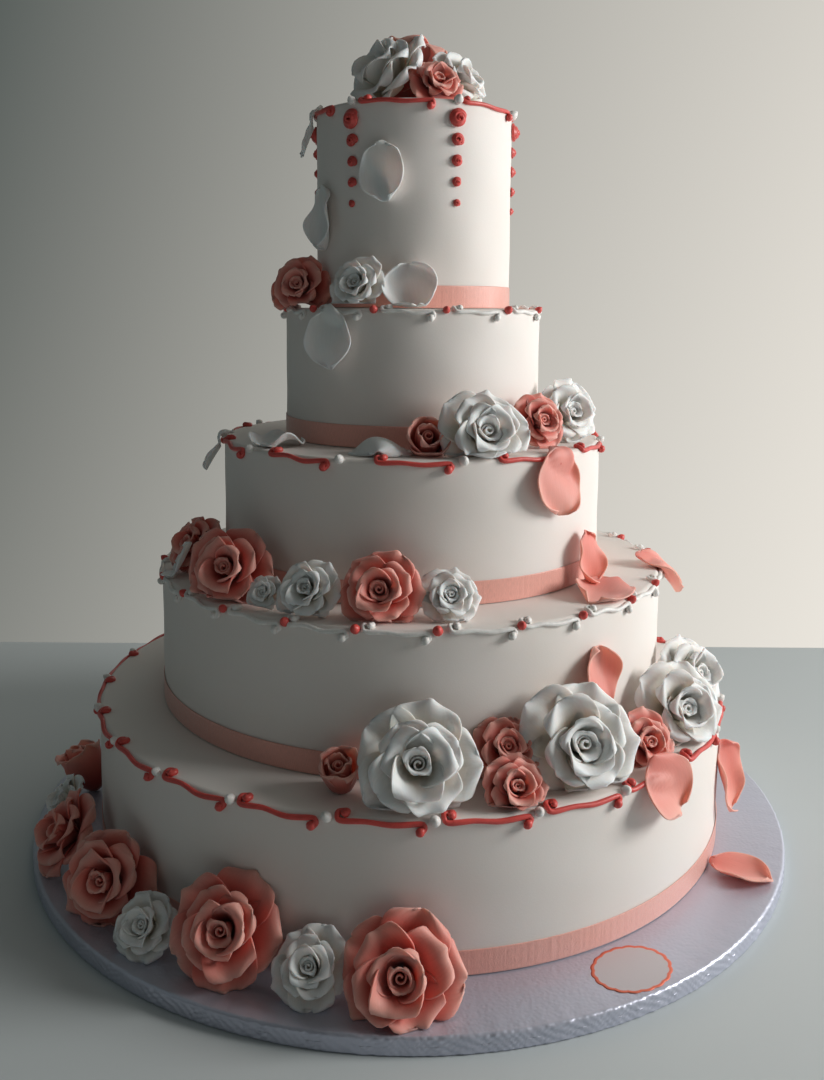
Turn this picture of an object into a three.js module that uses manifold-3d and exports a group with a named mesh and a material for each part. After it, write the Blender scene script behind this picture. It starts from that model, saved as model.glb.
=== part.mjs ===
// Five-tier wedding cake on its silver drum: fondant tiers with satin ribbons round their feet,
// piped scrolls and pearls round their rims, and a zigzag cascade of sugar roses and loose petals.
// Millimetres, +Z up, the front faces -Y, and the origin is the middle of the drum's underside.
// An azimuth is in degrees from the front, and grows towards +X.
import * as THREE from 'three';
import { mergeVertices } from 'three/addons/utils/BufferGeometryUtils.js';
import Module from 'manifold-3d';

const wasm = await Module();
wasm.setup();

// Driving dimensions. Round cakes of 50, 40, 30, 20 and 15 cm under a coat of fondant.
const FONDANT = 2.5;
const DRUM = { radius: 305, height: 12, sides: 48 };
const CAKES = [
  { name: 'tier_1_base', diameter: 500, height: 100, sides: 40 },
  { name: 'tier_2', diameter: 400, height: 100, sides: 36 },
  { name: 'tier_3', diameter: 300, height: 100, sides: 32 },
  { name: 'tier_4', diameter: 200, height: 100, sides: 28 },
  { name: 'tier_5_top', diameter: 150, height: 150, sides: 24 },
];
const RIM_ROUND = 3;
const RIBBON = { width: 17, thick: 0.6 };
const GAP = 0.35;
const SKIN = 0.4;
const GROW_ROUNDS = 20;
const MOST_SHIFT = 2;
const WELD = 0.02;
const PETAL_THICK = 1.3;
const LINE = { radius: 2.2, lift: 0.9, sides: 3, steps: 4 };
const BEAD_SIDES = 4;

// Piping on each rim, from the base tier up: how many scrolls, where the first starts, how far each
// reaches, and the bead that stands in the space after it.
const RIMS = [
  { scrolls: 24, first: -10, reach: 12.2, bead: 13.4, beadRadius: 2.9, line: 1 },
  { scrolls: 24, first: -8, reach: 12.2, bead: 13.5, beadRadius: 3.0, line: 0.85 },
  { scrolls: 11, first: -8.6, reach: 19.5, bead: 22.4, beadRadius: 2.7, line: 1 },
  { scrolls: 12, first: 18, reach: 20.5, bead: 25.8, beadRadius: 3.0, line: 0.8 },
  { scrolls: 6, first: 29, reach: 40, bead: 55, beadRadius: 3.4, line: 1 },
];
const ROSETTES = { columns: 6, first: 24, radii: [6.6, 4.7, 4.1, 3.6, 2.8], start: 14, pitch: 15.2 };

const COLOURS = {
  fondant: 0xf4efe8, ribbon: 0xe79c90, drum: 0xb9bcc4, white: 0xf6f2ea, coral: 0xe2766a,
};
const materials = {};
for (const [name, color] of Object.entries(COLOURS)) {
  materials[name] = new THREE.MeshStandardMaterial({
    color,
    roughness: name === 'drum' ? 0.35 : name === 'ribbon' ? 0.4 : 0.7,
    metalness: name === 'drum' ? 0.8 : 0,
  });
}

// Levels: where each tier stands, and the radius of the wall over each shelf.
const radiusOf = (cake) => cake.diameter / 2 + FONDANT;
const heightOf = (cake) => cake.height + FONDANT;
const feet = [];
let level = DRUM.height;
for (const cake of CAKES) {
  feet.push(level);
  level += heightOf(cake);
}
const CAKE_TOP = level;
const shelves = CAKES.map((cake, i) => ({ z: feet[i], wall: radiusOf(cake) }));
shelves.push({ z: CAKE_TOP, wall: 0 });

const rad = THREE.MathUtils.degToRad;
const lerp = THREE.MathUtils.lerp;

// A repeatable number from 0 to 1 for a whole number and a seed.
function chance(n, seed) {
  const x = Math.sin(n * 12.9898 + seed * 78.233) * 43758.5453;
  return x - Math.floor(x);
}

// The point at an azimuth, a distance from the cake's axis and a height.
function polar(azimuth, radius, z) {
  return new THREE.Vector3(radius * Math.sin(rad(azimuth)), -radius * Math.cos(rad(azimuth)), z);
}

// A closed surface of rings between two end points. at(i, j) gives ring i's point j.
function wrap(rings, around, at) {
  const points = [at(0, 0)];
  for (let i = 1; i < rings; i++) {
    for (let j = 0; j < around; j++) {
      points.push(at(i, j));
    }
  }
  points.push(at(rings, 0));
  const last = points.length - 1;
  const id = (i, j) => 1 + (i - 1) * around + (j % around);
  const index = [];
  for (let j = 0; j < around; j++) {
    index.push(0, id(1, j + 1), id(1, j));
    for (let i = 1; i < rings - 1; i++) {
      index.push(id(i, j), id(i, j + 1), id(i + 1, j));
      index.push(id(i, j + 1), id(i + 1, j + 1), id(i + 1, j));
    }
    index.push(id(rings - 1, j), id(rings - 1, j + 1), last);
  }
  return new THREE.BufferGeometry().setFromPoints(points).setIndex(index);
}

// A geometry's positions alone, each corner shared by the triangles round it.
function sealed(geometry) {
  const bare = geometry.clone();
  bare.deleteAttribute('normal');
  bare.deleteAttribute('uv');
  return mergeVertices(bare, 1e-4);
}

// The same shape under a skin that keeps its neighbours off: each corner moves out until every face
// round it stands SKIN further out.
function grow(geometry) {
  const shape = sealed(geometry);
  const { position } = shape.attributes;
  const corners = shape.index.array;
  const places = [];
  for (let i = 0; i < position.count; i++) {
    places.push(new THREE.Vector3().fromBufferAttribute(position, i));
  }
  const shifts = places.map(() => new THREE.Vector3());
  const face = new THREE.Triangle();
  const outward = new THREE.Vector3();
  for (let round = 0; round < GROW_ROUNDS; round++) {
    for (let t = 0; t < corners.length; t += 3) {
      const trio = [...corners.slice(t, t + 3)];
      face.set(...trio.map((c) => places[c])).getNormal(outward);
      for (const c of trio) {
        const lack = SKIN - shifts[c].dot(outward);
        shifts[c].addScaledVector(outward, Math.max(lack, 0));
      }
    }
  }
  places.forEach((place, i) => {
    place.add(shifts[i].clampLength(0, MOST_SHIFT));
    position.setXYZ(i, place.x, place.y, place.z);
  });
  return shape;
}

// A closed geometry as a solid for joining and cutting, and back.
function solid(geometry, matrix = new THREE.Matrix4()) {
  const merged = sealed(geometry).applyMatrix4(matrix);
  return new wasm.Manifold(new wasm.Mesh({
    numProp: 3,
    vertProperties: new Float32Array(merged.attributes.position.array),
    triVerts: new Uint32Array(merged.index.array),
  }));
}

// Corners that a cut leaves closer than WELD become one, and triangles without a width go.
function geometryOf(manifold, matrix = new THREE.Matrix4()) {
  const mesh = manifold.getMesh();
  const snapped = mesh.vertProperties.map((value) => Math.round(value / WELD) * WELD);
  const geometry = new THREE.BufferGeometry();
  geometry.setAttribute('position', new THREE.BufferAttribute(snapped, 3));
  geometry.setIndex(new THREE.BufferAttribute(mesh.triVerts, 1));
  const merged = mergeVertices(geometry, WELD / 4);
  const corners = merged.index.array;
  const kept = [];
  for (let t = 0; t < corners.length; t += 3) {
    const [a, b, c] = corners.slice(t, t + 3);
    if (a !== b && b !== c && c !== a) {
      kept.push(a, b, c);
    }
  }
  merged.setIndex(kept);
  return merged.applyMatrix4(matrix);
}

function meets(a, b) {
  const p = a.boundingBox();
  const q = b.boundingBox();
  const apart = [0, 1, 2].some((k) => p.min[k] > q.max[k] || q.min[k] > p.max[k]);
  return !apart && a.intersect(b).volume() > 1e-3;
}

// The largest piece of a solid, without the scraps that a cut leaves.
function largest(manifold) {
  const pieces = manifold.decompose();
  return pieces.reduce((best, piece) => (piece.volume() > best.volume() ? piece : best));
}

// A turned solid: the profile's points are [radius, height] from the axis at the foot to the top.
function turned(profile, sides) {
  const points = profile.map(([r, z]) => new THREE.Vector2(r, z));
  return new THREE.LatheGeometry(points, sides).rotateX(Math.PI / 2);
}

function drum() {
  const { radius, height, sides } = DRUM;
  return turned([[0, 0], [radius, 0], [radius, height], [0, height]], sides);
}

function tier(cake) {
  const r = radiusOf(cake);
  const h = heightOf(cake);
  return turned([[0, 0], [r, 0], [r, h], [0, h]], cake.sides);
}

// The ribbon stands a hair off the fondant, round the foot of its tier.
function ribbon(cake) {
  const inner = radiusOf(cake) + GAP;
  const outer = inner + RIBBON.thick;
  const { width } = RIBBON;
  return turned([[inner, GAP], [outer, GAP], [outer, width], [inner, width], [inner, GAP]], cake.sides);
}

// A point on a tier's rim, lifted off the icing. across is measured over the rounded rim from the
// middle of its round: positive runs in over the top, negative runs down the side.
function onRim(cake, azimuth, across, lift) {
  const arc = RIM_ROUND * Math.PI / 4;
  const over = THREE.MathUtils.clamp(across, -arc, arc);
  const lean = Math.PI / 4 + over / RIM_ROUND;
  const radius = radiusOf(cake) - RIM_ROUND + (RIM_ROUND + lift) * Math.cos(lean) - Math.max(across - arc, 0);
  const z = heightOf(cake) - RIM_ROUND + (RIM_ROUND + lift) * Math.sin(lean) + Math.min(across + arc, 0);
  return polar(azimuth, radius, z);
}

// A line of icing laid on a rim: a tapering tube through [along, across] points, in mm.
function pipedLine(cake, start, trail, size) {
  const perDegree = radiusOf(cake) * rad(1);
  const path = new THREE.CatmullRomCurve3(trail.map(([s, t]) => new THREE.Vector3(s, t, 0)));
  const spot = (t) => {
    const p = path.getPoint(t);
    return { azimuth: start + p.x / perDegree, across: p.y, ahead: path.getTangent(t) };
  };
  return wrap(LINE.steps, LINE.sides, (i, j) => {
    const { azimuth, across, ahead } = spot(i / LINE.steps);
    const end = i === 0 || i === LINE.steps;
    const turn = (-j / LINE.sides) * 2 * Math.PI;
    const side = end ? 0 : size * Math.sin(turn);
    const lift = LINE.lift * size / LINE.radius + (end ? 0 : size * Math.cos(turn));
    const s = -side * ahead.y / perDegree;
    return onRim(cake, azimuth + s, across + side * ahead.x, lift);
  });
}

// A scroll starts in a curl on the top, runs along the rim and ends in a hook down the side.
function scrollTrail(length) {
  return [[4.4, 4.6], [0.6, 1.4], [length * 0.5, -0.3], [length - 0.8, -1.8], [length - 4.5, -5.6]];
}

// A pearl or rosette of icing, faceted.
function bead(centre, radius) {
  return wrap(2, BEAD_SIDES, (i, j) => {
    const rise = Math.PI * (i / 2 - 0.5);
    const turn = (j / BEAD_SIDES) * 2 * Math.PI;
    const level = radius * Math.cos(rise);
    const off = new THREE.Vector3(level * Math.cos(turn), level * Math.sin(turn), radius * Math.sin(rise));
    return off.add(centre);
  });
}

// Every piece of icing piped on one tier, each as a closed geometry in the tier's own frame.
function piping(cake, rim, isTop) {
  const pieces = [];
  const step = 360 / rim.scrolls;
  for (let k = 0; k < rim.scrolls; k++) {
    const start = rim.first + k * step + 1.3 * (chance(k, cake.diameter) - 0.5);
    const length = rim.reach * rad(1) * radiusOf(cake);
    pieces.push(pipedLine(cake, start, scrollTrail(length), LINE.radius * rim.line));
    pieces.push(bead(onRim(cake, start + rim.bead, -0.5, rim.beadRadius * 0.45), rim.beadRadius));
  }
  if (isTop) {
    for (let c = 0; c < ROSETTES.columns; c++) {
      const azimuth = ROSETTES.first + (c * 360) / ROSETTES.columns;
      ROSETTES.radii.forEach((radius, k) => {
        const z = heightOf(cake) - ROSETTES.start - k * ROSETTES.pitch;
        pieces.push(bead(polar(azimuth, radiusOf(cake) + 0.2 * radius, z), radius));
      });
    }
  }
  return pieces;
}

// How far a ring of overlapping petals reaches at an angle, as a share of its size.
function petalReach(angle, petals, seed) {
  let reach = 0;
  const half = (180 / petals) * 1.25;
  for (let k = 0; k < petals; k++) {
    const middle = (k * 360) / petals + 14 * (chance(k, seed) - 0.5);
    const off = Math.abs(((angle - middle + 540) % 360) - 180) / half;
    const size = 0.93 + 0.12 * chance(k + 20, seed);
    if (off < 1) {
      reach = Math.max(reach, size * (1 - 0.3 * off ** 2.5));
    }
  }
  return Math.max(reach, 0.7);
}

// Rings of a sugar rose from its back to its face, as shares of its radius: [radius, height, petals].
const ROSE_RINGS = [
  [0, -0.55, 0], [0.5, -0.4, 0], [1, 0, 5], [0.74, 0.04, 0], [0.66, 0.24, 5], [0.46, 0.12, 0],
  [0.38, 0.36, 3], [0.2, 0.24, 0], [0, 0.36, 0],
];
const BUD_RINGS = [
  [0, -1, 0], [0.55, -0.75, 0], [1, -0.1, 3], [0.86, 0.55, 3], [0.5, 0.95, 3], [0, 0.6, 0],
];

function rose({ r, seed, bud = false }) {
  const full = bud ? BUD_RINGS : ROSE_RINGS;
  const kept = r > 30 ? full.length : full.length - 2;
  const rings = bud ? full : [...full.slice(0, kept - 1), [0, full[kept - 1][1] + 0.05, 0]];
  const around = bud ? 9 : r > 30 ? 15 : 10;
  return wrap(rings.length - 1, around, (i, j) => {
    const [out, up, petals] = rings[i];
    const angle = (j * 360) / around;
    const reach = petals ? petalReach(angle + i * 36, petals, seed + i) : 1;
    const radius = r * out * reach;
    return new THREE.Vector3(radius * Math.cos(rad(angle)), radius * Math.sin(rad(angle)), r * up);
  });
}

// A loose petal: broad at its free end, cupped across and bent along, and evenly thin. Its middle is
// the origin, its length runs along y and its face looks along z.
function petal({ length, width, cup = 0.2, bend = 0, wave = 0.04, seed }) {
  const across = 3;
  const along = 3;
  const sheet = (u, v, offset) => {
    const reach = 1 - 0.16 * Math.abs(u) ** 2.4;
    const s = (v - 0.5) * length * lerp(1, reach, v);
    const half = (width / 2) * (0.3 + 0.78 * Math.sin(Math.PI * (0.08 + 0.74 * v)) ** 1.1);
    const x = half * u;
    const ripple = wave * width * Math.sin(3.2 * u + 5 * v + seed);
    const z = cup * width * (u * u - 0.35) * (0.4 + 0.6 * v) + ripple + offset;
    const curve = bend / length;
    if (Math.abs(bend) < 1e-3) {
      return new THREE.Vector3(x, s, z);
    }
    const around = 1 / curve;
    const turn = s * curve;
    return new THREE.Vector3(x, (around + z) * Math.sin(turn), (around + z) * Math.cos(turn) - around);
  };
  const points = [];
  for (const side of [PETAL_THICK / 2, -PETAL_THICK / 2]) {
    for (let a = 0; a <= across; a++) {
      for (let b = 0; b <= along; b++) {
        points.push(sheet((2 * a) / across - 1, b / along, side));
      }
    }
  }
  const row = along + 1;
  const back = (across + 1) * row;
  const index = [];
  for (let a = 0; a < across; a++) {
    for (let b = 0; b < along; b++) {
      const [p, q, s, t] = [a * row + b, (a + 1) * row + b, (a + 1) * row + b + 1, a * row + b + 1];
      index.push(p, q, s, p, s, t);
      index.push(p + back, s + back, q + back, p + back, t + back, s + back);
    }
  }
  const edge = [];
  for (let a = 0; a < across; a++) edge.push(a * row);
  for (let b = 0; b < along; b++) edge.push(across * row + b);
  for (let a = across; a > 0; a--) edge.push(a * row + along);
  for (let b = along; b > 0; b--) edge.push(b);
  edge.forEach((p, i) => {
    const q = edge[(i + 1) % edge.length];
    index.push(p, p + back, q + back, p, q + back, q);
  });
  return new THREE.BufferGeometry().setFromPoints(points).setIndex(index);
}

// The frame of a flower or petal: its place, the way it faces and its roll.
function frameOf(item, shelf) {
  const { az, out, up, turn = 0, tilt = 20, roll = 0 } = item;
  const place = polar(az, shelf.wall + out, shelf.z + up);
  const face = az + turn;
  const normal = polar(face, Math.cos(rad(tilt)), Math.sin(rad(tilt)));
  const right = new THREE.Vector3(Math.cos(rad(face)), Math.sin(rad(face)), 0);
  const upward = new THREE.Vector3().crossVectors(normal, right);
  const basis = new THREE.Matrix4().makeBasis(right, upward, normal);
  basis.multiply(new THREE.Matrix4().makeRotationZ(rad(roll)));
  return basis.setPosition(place);
}

// Flowers and petals, shelf by shelf from the drum up. out is the distance from the wall and up the
// height over the shelf of the middle, turn and tilt say where it faces against straight out, and r,
// length and width are sizes, in mm.
const FLOWERS = [
  [ // on the drum
    { name: 'rose_drum_a_coral', az: -0.9, out: 29, up: 21.1, r: 41, tilt: 28, seed: 1 },
    { name: 'rose_drum_b_white', az: -12.3, out: 23.5, up: 18.4, r: 24, tilt: 40, seed: 2 },
    { name: 'rose_drum_c_coral', az: -24.3, out: 24, up: 30.6, r: 38, turn: 14, tilt: 26, seed: 3 },
    { name: 'rose_drum_d_white', az: -36.6, out: 31, up: 17.4, r: 22, turn: 14, tilt: 35, seed: 4 },
    { name: 'rose_drum_e_coral', az: -46.8, out: 28, up: 27, r: 38, turn: 30, tilt: 22, seed: 5 },
    { name: 'rose_drum_f_coral', az: -62.8, out: 33, up: 28.9, r: 33, turn: 6, tilt: 30, seed: 6 },
    { name: 'rose_drum_g_white', az: -77.6, out: 31, up: 16.6, r: 21, turn: 22, tilt: 30, seed: 7 },
    { name: 'rose_drum_h_coral', az: -88, out: 22, up: 18.6, r: 20, bud: true, tilt: 62, seed: 8 },
    { name: 'petal_drum_coral', az: 61, out: 25, up: 4.2, length: 46, width: 38, cup: 0.14, bend: 0,
      turn: 0, tilt: 86, roll: 180, seed: 9, loose: true },
  ],
  [ // on the base tier
    { name: 'rose_base_a_white', az: 1.3, out: 31, up: 26.2, r: 43, tilt: 28, seed: 11 },
    { name: 'bud_base_b_coral', az: -11.7, out: 16, up: 8.9, r: 15, bud: true, tilt: 62, seed: 12 },
    { name: 'rose_base_c_coral', az: 16, out: 38, up: 11.3, r: 21, tilt: 36, seed: 13 },
    { name: 'rose_base_d_coral', az: 16.9, out: 14, up: 30.3, r: 22, turn: -8, tilt: 40, seed: 14 },
    { name: 'rose_base_e_white', az: 28.6, out: 30, up: 28, r: 44, turn: -14, tilt: 24, seed: 16 },
    { name: 'rose_base_f_coral', az: 44.3, out: 31, up: 12.8, r: 22, turn: -18, tilt: 28, seed: 17 },
    { name: 'rose_base_g_white', az: 56.6, out: 33, up: 22.3, r: 39, turn: -32, tilt: 24, seed: 18 },
    { name: 'rose_base_h_white', az: 70.3, out: 30, up: 29, r: 36, turn: -26, tilt: 30, seed: 19 },
    { name: 'petal_base_i_coral', az: 38.5, out: 6.4, up: 56.3, length: 46, width: 36, cup: 0.2,
      tilt: 12, roll: 172, seed: 20, loose: true },
    { name: 'petal_base_j_coral', az: 41.7, out: 55.5, up: -4.9, length: 44, width: 50, cup: 0.08,
      tilt: 22, roll: 200, bend: 0.5, seed: 21, loose: true },
    { name: 'petal_base_k_coral', az: 71.4, out: 57.5, up: -50.4, length: 58, width: 46, cup: 0.2,
      tilt: 8, roll: 184, seed: 22, loose: true },
  ],
  [ // on the second tier
    { name: 'rose_second_a_coral', az: -6.4, out: 31, up: 20.4, r: 31.5, tilt: 26, seed: 31 },
    { name: 'rose_second_b_white', az: 8.4, out: 28, up: 16.2, r: 19.5, tilt: 34, seed: 32 },
    { name: 'rose_second_c_white', az: -22, out: 33, up: 17.6, r: 23, tilt: 30, seed: 33 },
    { name: 'rose_second_d_white', az: -32.4, out: 35, up: 11.1, r: 13, turn: 8, tilt: 30, seed: 34 },
    { name: 'rose_second_e_coral', az: -44.2, out: 34, up: 21.5, r: 35, turn: 26, tilt: 24, seed: 35 },
    { name: 'petal_second_f_white', az: -66.5, out: 40, up: 11.7, length: 36, width: 22, cup: 0.2,
      turn: -12, tilt: 25, roll: 170, seed: 36, loose: true },
    { name: 'rose_second_g_coral', az: -71.6, out: 27, up: 20.9, r: 28, turn: 24, tilt: 34, seed: 37 },
    { name: 'petal_second_h_coral', az: 54.7, out: 10, up: 21.8, length: 42, width: 30, cup: 0.25,
      turn: -5, tilt: 8, roll: 184, seed: 38, loose: true },
    { name: 'petal_second_i_coral', az: 50.7, out: 30, up: 3, length: 62, width: 42, cup: 0.12,
      tilt: 80, roll: 100, seed: 39, loose: true },
    { name: 'petal_second_j_coral', az: 81.4, out: 53, up: -4.8, length: 50, width: 24, cup: 0.22,
      tilt: 50, roll: 188, bend: 0.9, seed: 40, loose: true },
  ],
  [ // on the third tier
    { name: 'rose_third_a_white', az: 21.9, out: 36, up: 16.7, r: 38, turn: -4, tilt: 25, seed: 51 },
    { name: 'bud_third_b_coral', az: 5, out: 18, up: 7.2, r: 16.5, bud: true, tilt: 35, seed: 52 },
    { name: 'rose_third_c_coral', az: 49.3, out: 24, up: 20.6, r: 22, turn: -20, tilt: 20, seed: 53 },
    { name: 'rose_third_d_white', az: 70.4, out: 28, up: 22.8, r: 31, turn: -36, tilt: 20, seed: 54 },
    { name: 'petal_third_e_coral', az: 43.3, out: 54, up: -18.8, length: 52, width: 52, cup: 0.12,
      tilt: 14, roll: 178, bend: 0.35, seed: 55, loose: true },
    { name: 'petal_third_f_white', az: -10.1, out: 26, up: -1.9, length: 38, width: 42, cup: 0.2,
      tilt: 72, roll: 184, seed: 56, loose: true },
    { name: 'petal_third_g_white', az: -49.6, out: 30, up: -2.2, length: 40, width: 48, cup: 0.2,
      tilt: 74, roll: 176, seed: 57, loose: true },
    { name: 'petal_third_h_white', az: -80.5, out: 56, up: -9.9, length: 40, width: 24, cup: 0.1,
      tilt: 38, roll: 180, bend: 0.4, seed: 58, loose: true },
  ],
  [ // on the fourth tier
    { name: 'rose_fourth_a_coral', az: -63.8, out: 20, up: 17.2, r: 28, turn: 42, tilt: 16, seed: 71 },
    { name: 'rose_fourth_b_white', az: -25.4, out: 18, up: 17.4, r: 22.5, tilt: 22, seed: 72 },
    { name: 'petal_fourth_c_white', az: -1.3, out: 12, up: 14.7, length: 42, width: 42, cup: 0.22,
      tilt: 22, roll: 12, seed: 73, loose: true },
    { name: 'petal_fourth_d_white', az: -34.6, out: 30, up: -22.4, length: 46, width: 40, cup: 0.12,
      tilt: 6, roll: 185, bend: 0.2, seed: 74, loose: true },
  ],
  [ // on the top tier
    { name: 'rose_top_a_white', az: -52, out: 24, up: 29.6, r: 36, turn: 0, tilt: 35, seed: 91 },
    { name: 'rose_top_b_coral', az: 26, out: 42, up: 17.4, r: 21.5, tilt: 30, seed: 92 },
    { name: 'rose_top_c_white', az: 75, out: 38, up: 26, r: 32, turn: -20, tilt: 30, seed: 93 },
    { name: 'rose_top_d_coral', az: 180, out: 22, up: 25, r: 33, turn: 0, tilt: 30, seed: 94 },
    { name: 'petal_top_e_white', az: -16.5, out: 81, up: -52.6, length: 44, width: 36, cup: 0.22,
      tilt: 0, roll: 184, seed: 95, loose: true },
    { name: 'petal_top_f_white', az: -60.6, out: 80.8, up: -83.3, length: 50, width: 40, cup: 0.16,
      tilt: 0, roll: 176, seed: 96, loose: true },
    { name: 'petal_top_g_white', az: -84.6, out: 83, up: -13.2, length: 44, width: 24, cup: 0.1,
      tilt: 22, roll: 180, bend: 0.3, seed: 97, loose: true },
  ],
];

// What the flowers keep clear of: the drum, and every tier and ribbon.
const keepOut = [solid(grow(drum()))];
CAKES.forEach((cake, i) => {
  const lift = new THREE.Matrix4().makeTranslation(0, 0, feet[i]);
  keepOut.push(solid(grow(tier(cake)), lift), solid(grow(ribbon(cake)), lift));
});

// Each flower is cut clear of the cake and of the flowers before it.
const grown = [];
function flowerMesh(item, shelf) {
  const frame = frameOf(item, shelf);
  const shape = item.loose ? petal(item) : rose(item);
  let body = solid(shape, frame);
  for (const other of [...keepOut, ...grown]) {
    if (meets(body, other)) {
      body = body.subtract(other);
    }
  }
  grown.push(solid(grow(shape), frame));
  const back = frame.clone().invert();
  const mesh = new THREE.Mesh(
    geometryOf(largest(body), back),
    item.name.endsWith('coral') ? materials.coral : materials.white,
  );
  mesh.name = item.name;
  mesh.position.setFromMatrixPosition(frame);
  mesh.quaternion.setFromRotationMatrix(frame);
  return mesh;
}

// A tier with its piping fused on, where the piping keeps clear of the flowers.
function tierMesh(cake, i) {
  const lift = new THREE.Matrix4().makeTranslation(0, 0, feet[i]);
  let body = solid(tier(cake));
  for (const piece of piping(cake, RIMS[i], i === CAKES.length - 1)) {
    const there = solid(piece, lift);
    if (!grown.some((flower) => meets(there, flower))) {
      body = body.add(solid(piece));
    }
  }
  const mesh = new THREE.Mesh(geometryOf(largest(body)), materials.fondant);
  mesh.name = cake.name;
  return mesh;
}

const cakeStack = new THREE.Group();
const flowers = new THREE.Group();
FLOWERS.forEach((items, i) => items.forEach((item) => flowers.add(flowerMesh(item, shelves[i]))));
CAKES.forEach((cake, i) => {
  const storey = new THREE.Group();
  storey.position.z = feet[i];
  const band = new THREE.Mesh(ribbon(cake), materials.ribbon);
  band.name = cake.name.replace('tier', 'ribbon');
  storey.add(tierMesh(cake, i), band);
  cakeStack.add(storey);
});
const stand = new THREE.Mesh(drum(), materials.drum);
stand.name = 'cake_drum';
cakeStack.add(stand, flowers);

export default cakeStack;
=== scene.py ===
"""A five-tier wedding cake: fondant, satin ribbons, piped icing, sugar roses, loose petals and its drum.

Metres, +Z up, the front faces -Y. An azimuth is in degrees from the front and grows towards +X.
"""

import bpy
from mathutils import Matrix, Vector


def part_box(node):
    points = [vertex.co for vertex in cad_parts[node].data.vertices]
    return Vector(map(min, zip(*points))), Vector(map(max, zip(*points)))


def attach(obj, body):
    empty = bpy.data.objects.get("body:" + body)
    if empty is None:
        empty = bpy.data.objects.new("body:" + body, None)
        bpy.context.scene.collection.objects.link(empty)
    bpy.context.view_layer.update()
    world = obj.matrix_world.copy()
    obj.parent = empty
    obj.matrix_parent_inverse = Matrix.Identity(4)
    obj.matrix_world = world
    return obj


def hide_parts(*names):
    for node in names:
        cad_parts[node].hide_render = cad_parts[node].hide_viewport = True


bl_info = {
    "name": "Tiered Wedding Cake",
    "version": (1, 0, 0),
    "blender": (4, 5, 0),
    "location": "View3D > Sidebar > Cake",
    "description": "Covers, pipes and decorates a tiered wedding cake on its drum",
    "category": "Object",
}

import bpy
import numpy as np
from mathutils import Matrix, Vector

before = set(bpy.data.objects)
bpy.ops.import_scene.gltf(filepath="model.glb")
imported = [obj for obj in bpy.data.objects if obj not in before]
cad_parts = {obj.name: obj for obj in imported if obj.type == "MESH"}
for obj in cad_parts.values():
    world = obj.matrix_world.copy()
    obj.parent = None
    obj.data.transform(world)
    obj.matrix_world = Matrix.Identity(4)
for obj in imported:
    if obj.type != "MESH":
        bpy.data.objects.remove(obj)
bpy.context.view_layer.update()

MM = 0.001
TIERS = ("tier_1_base", "tier_2", "tier_3", "tier_4", "tier_5_top")
RIBBONS = ("ribbon_1_base", "ribbon_2", "ribbon_3", "ribbon_4", "ribbon_5_top")
BODY = "root"
# A ribbon's solid starts RIBBON_GAP over its tier's foot and reaches RIBBON_OFF off the wall.
RIBBON_GAP = 0.35 * MM
RIBBON_OFF = 0.95 * MM
# How thick the scene's ribbon is, and how far over a shelf the flowers keep clear of it.
RIBBON_THICK = 0.42 * MM
RIBBON_TALL = 17.5 * MM
TOP_TIER_HEIGHT = 152.5 * MM
# The fondant's thickness over the cake, in mm.
FONDANT = 2.5


def read_levels():
    """Each tier's wall radius, foot and top, from the ribbons' solids in the frame."""
    walls = [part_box(name)[1].x - RIBBON_OFF for name in RIBBONS]
    feet = [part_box(name)[0].z - RIBBON_GAP for name in RIBBONS]
    tops = feet[1:] + [feet[-1] + TOP_TIER_HEIGHT]
    return walls, feet, tops


WALLS, FEET, TOPS = read_levels()
DRUM_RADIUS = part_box("cake_drum")[1].x
DRUM_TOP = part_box("cake_drum")[1].z
# Each shelf that carries flowers: its height, and the radius of the wall that stands on it.
SHELVES = list(zip([DRUM_TOP] + TOPS, WALLS + [0.0]))

# Piping on each rim: how many scrolls, the first one's azimuth, the reach of each and the way from its
# start to the pearl after it in degrees, the pearl's and the icing line's radius in mm, both colours.
RIMS = (
    dict(scrolls=24, first=-10, reach=12.2, pearl=13.4, pearl_r=3.5, line=2.1, ink="red", dot="white"),
    dict(scrolls=24, first=-8, reach=12.2, pearl=13.5, pearl_r=3.3, line=2.0, ink="white", dot="red"),
    dict(scrolls=11, first=-8.6, reach=19.5, pearl=22.4, pearl_r=3.3, line=2.1, ink="red", dot="white"),
    dict(scrolls=12, first=18, reach=20.5, pearl=25.8, pearl_r=3.0, line=1.8, ink="white", dot="red"),
    dict(scrolls=6, first=29, reach=40, pearl=55, pearl_r=3.6, line=2.0, ink="red", dot="white"),
)
# The top tier's columns of rosettes: how many, the first one's azimuth, and in mm the radii from the
# top down, the first one's distance from the rim and the space from one to the next.
ROSETTES = dict(columns=6, first=24, radii=(7.6, 5.1, 4.6, 4.1, 3.2), start=14, pitch=15.2)


def flower(name, az, out, up, tilt, seed, **more):
    """One row of the flower table. A bud and a loose petal are told by their names, or by bud=True."""
    kind = dict(bud=name.startswith("bud"), loose=name.startswith("petal"))
    return dict(kind, name=name, az=az, out=out, up=up, tilt=tilt, seed=seed) | more


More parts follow.
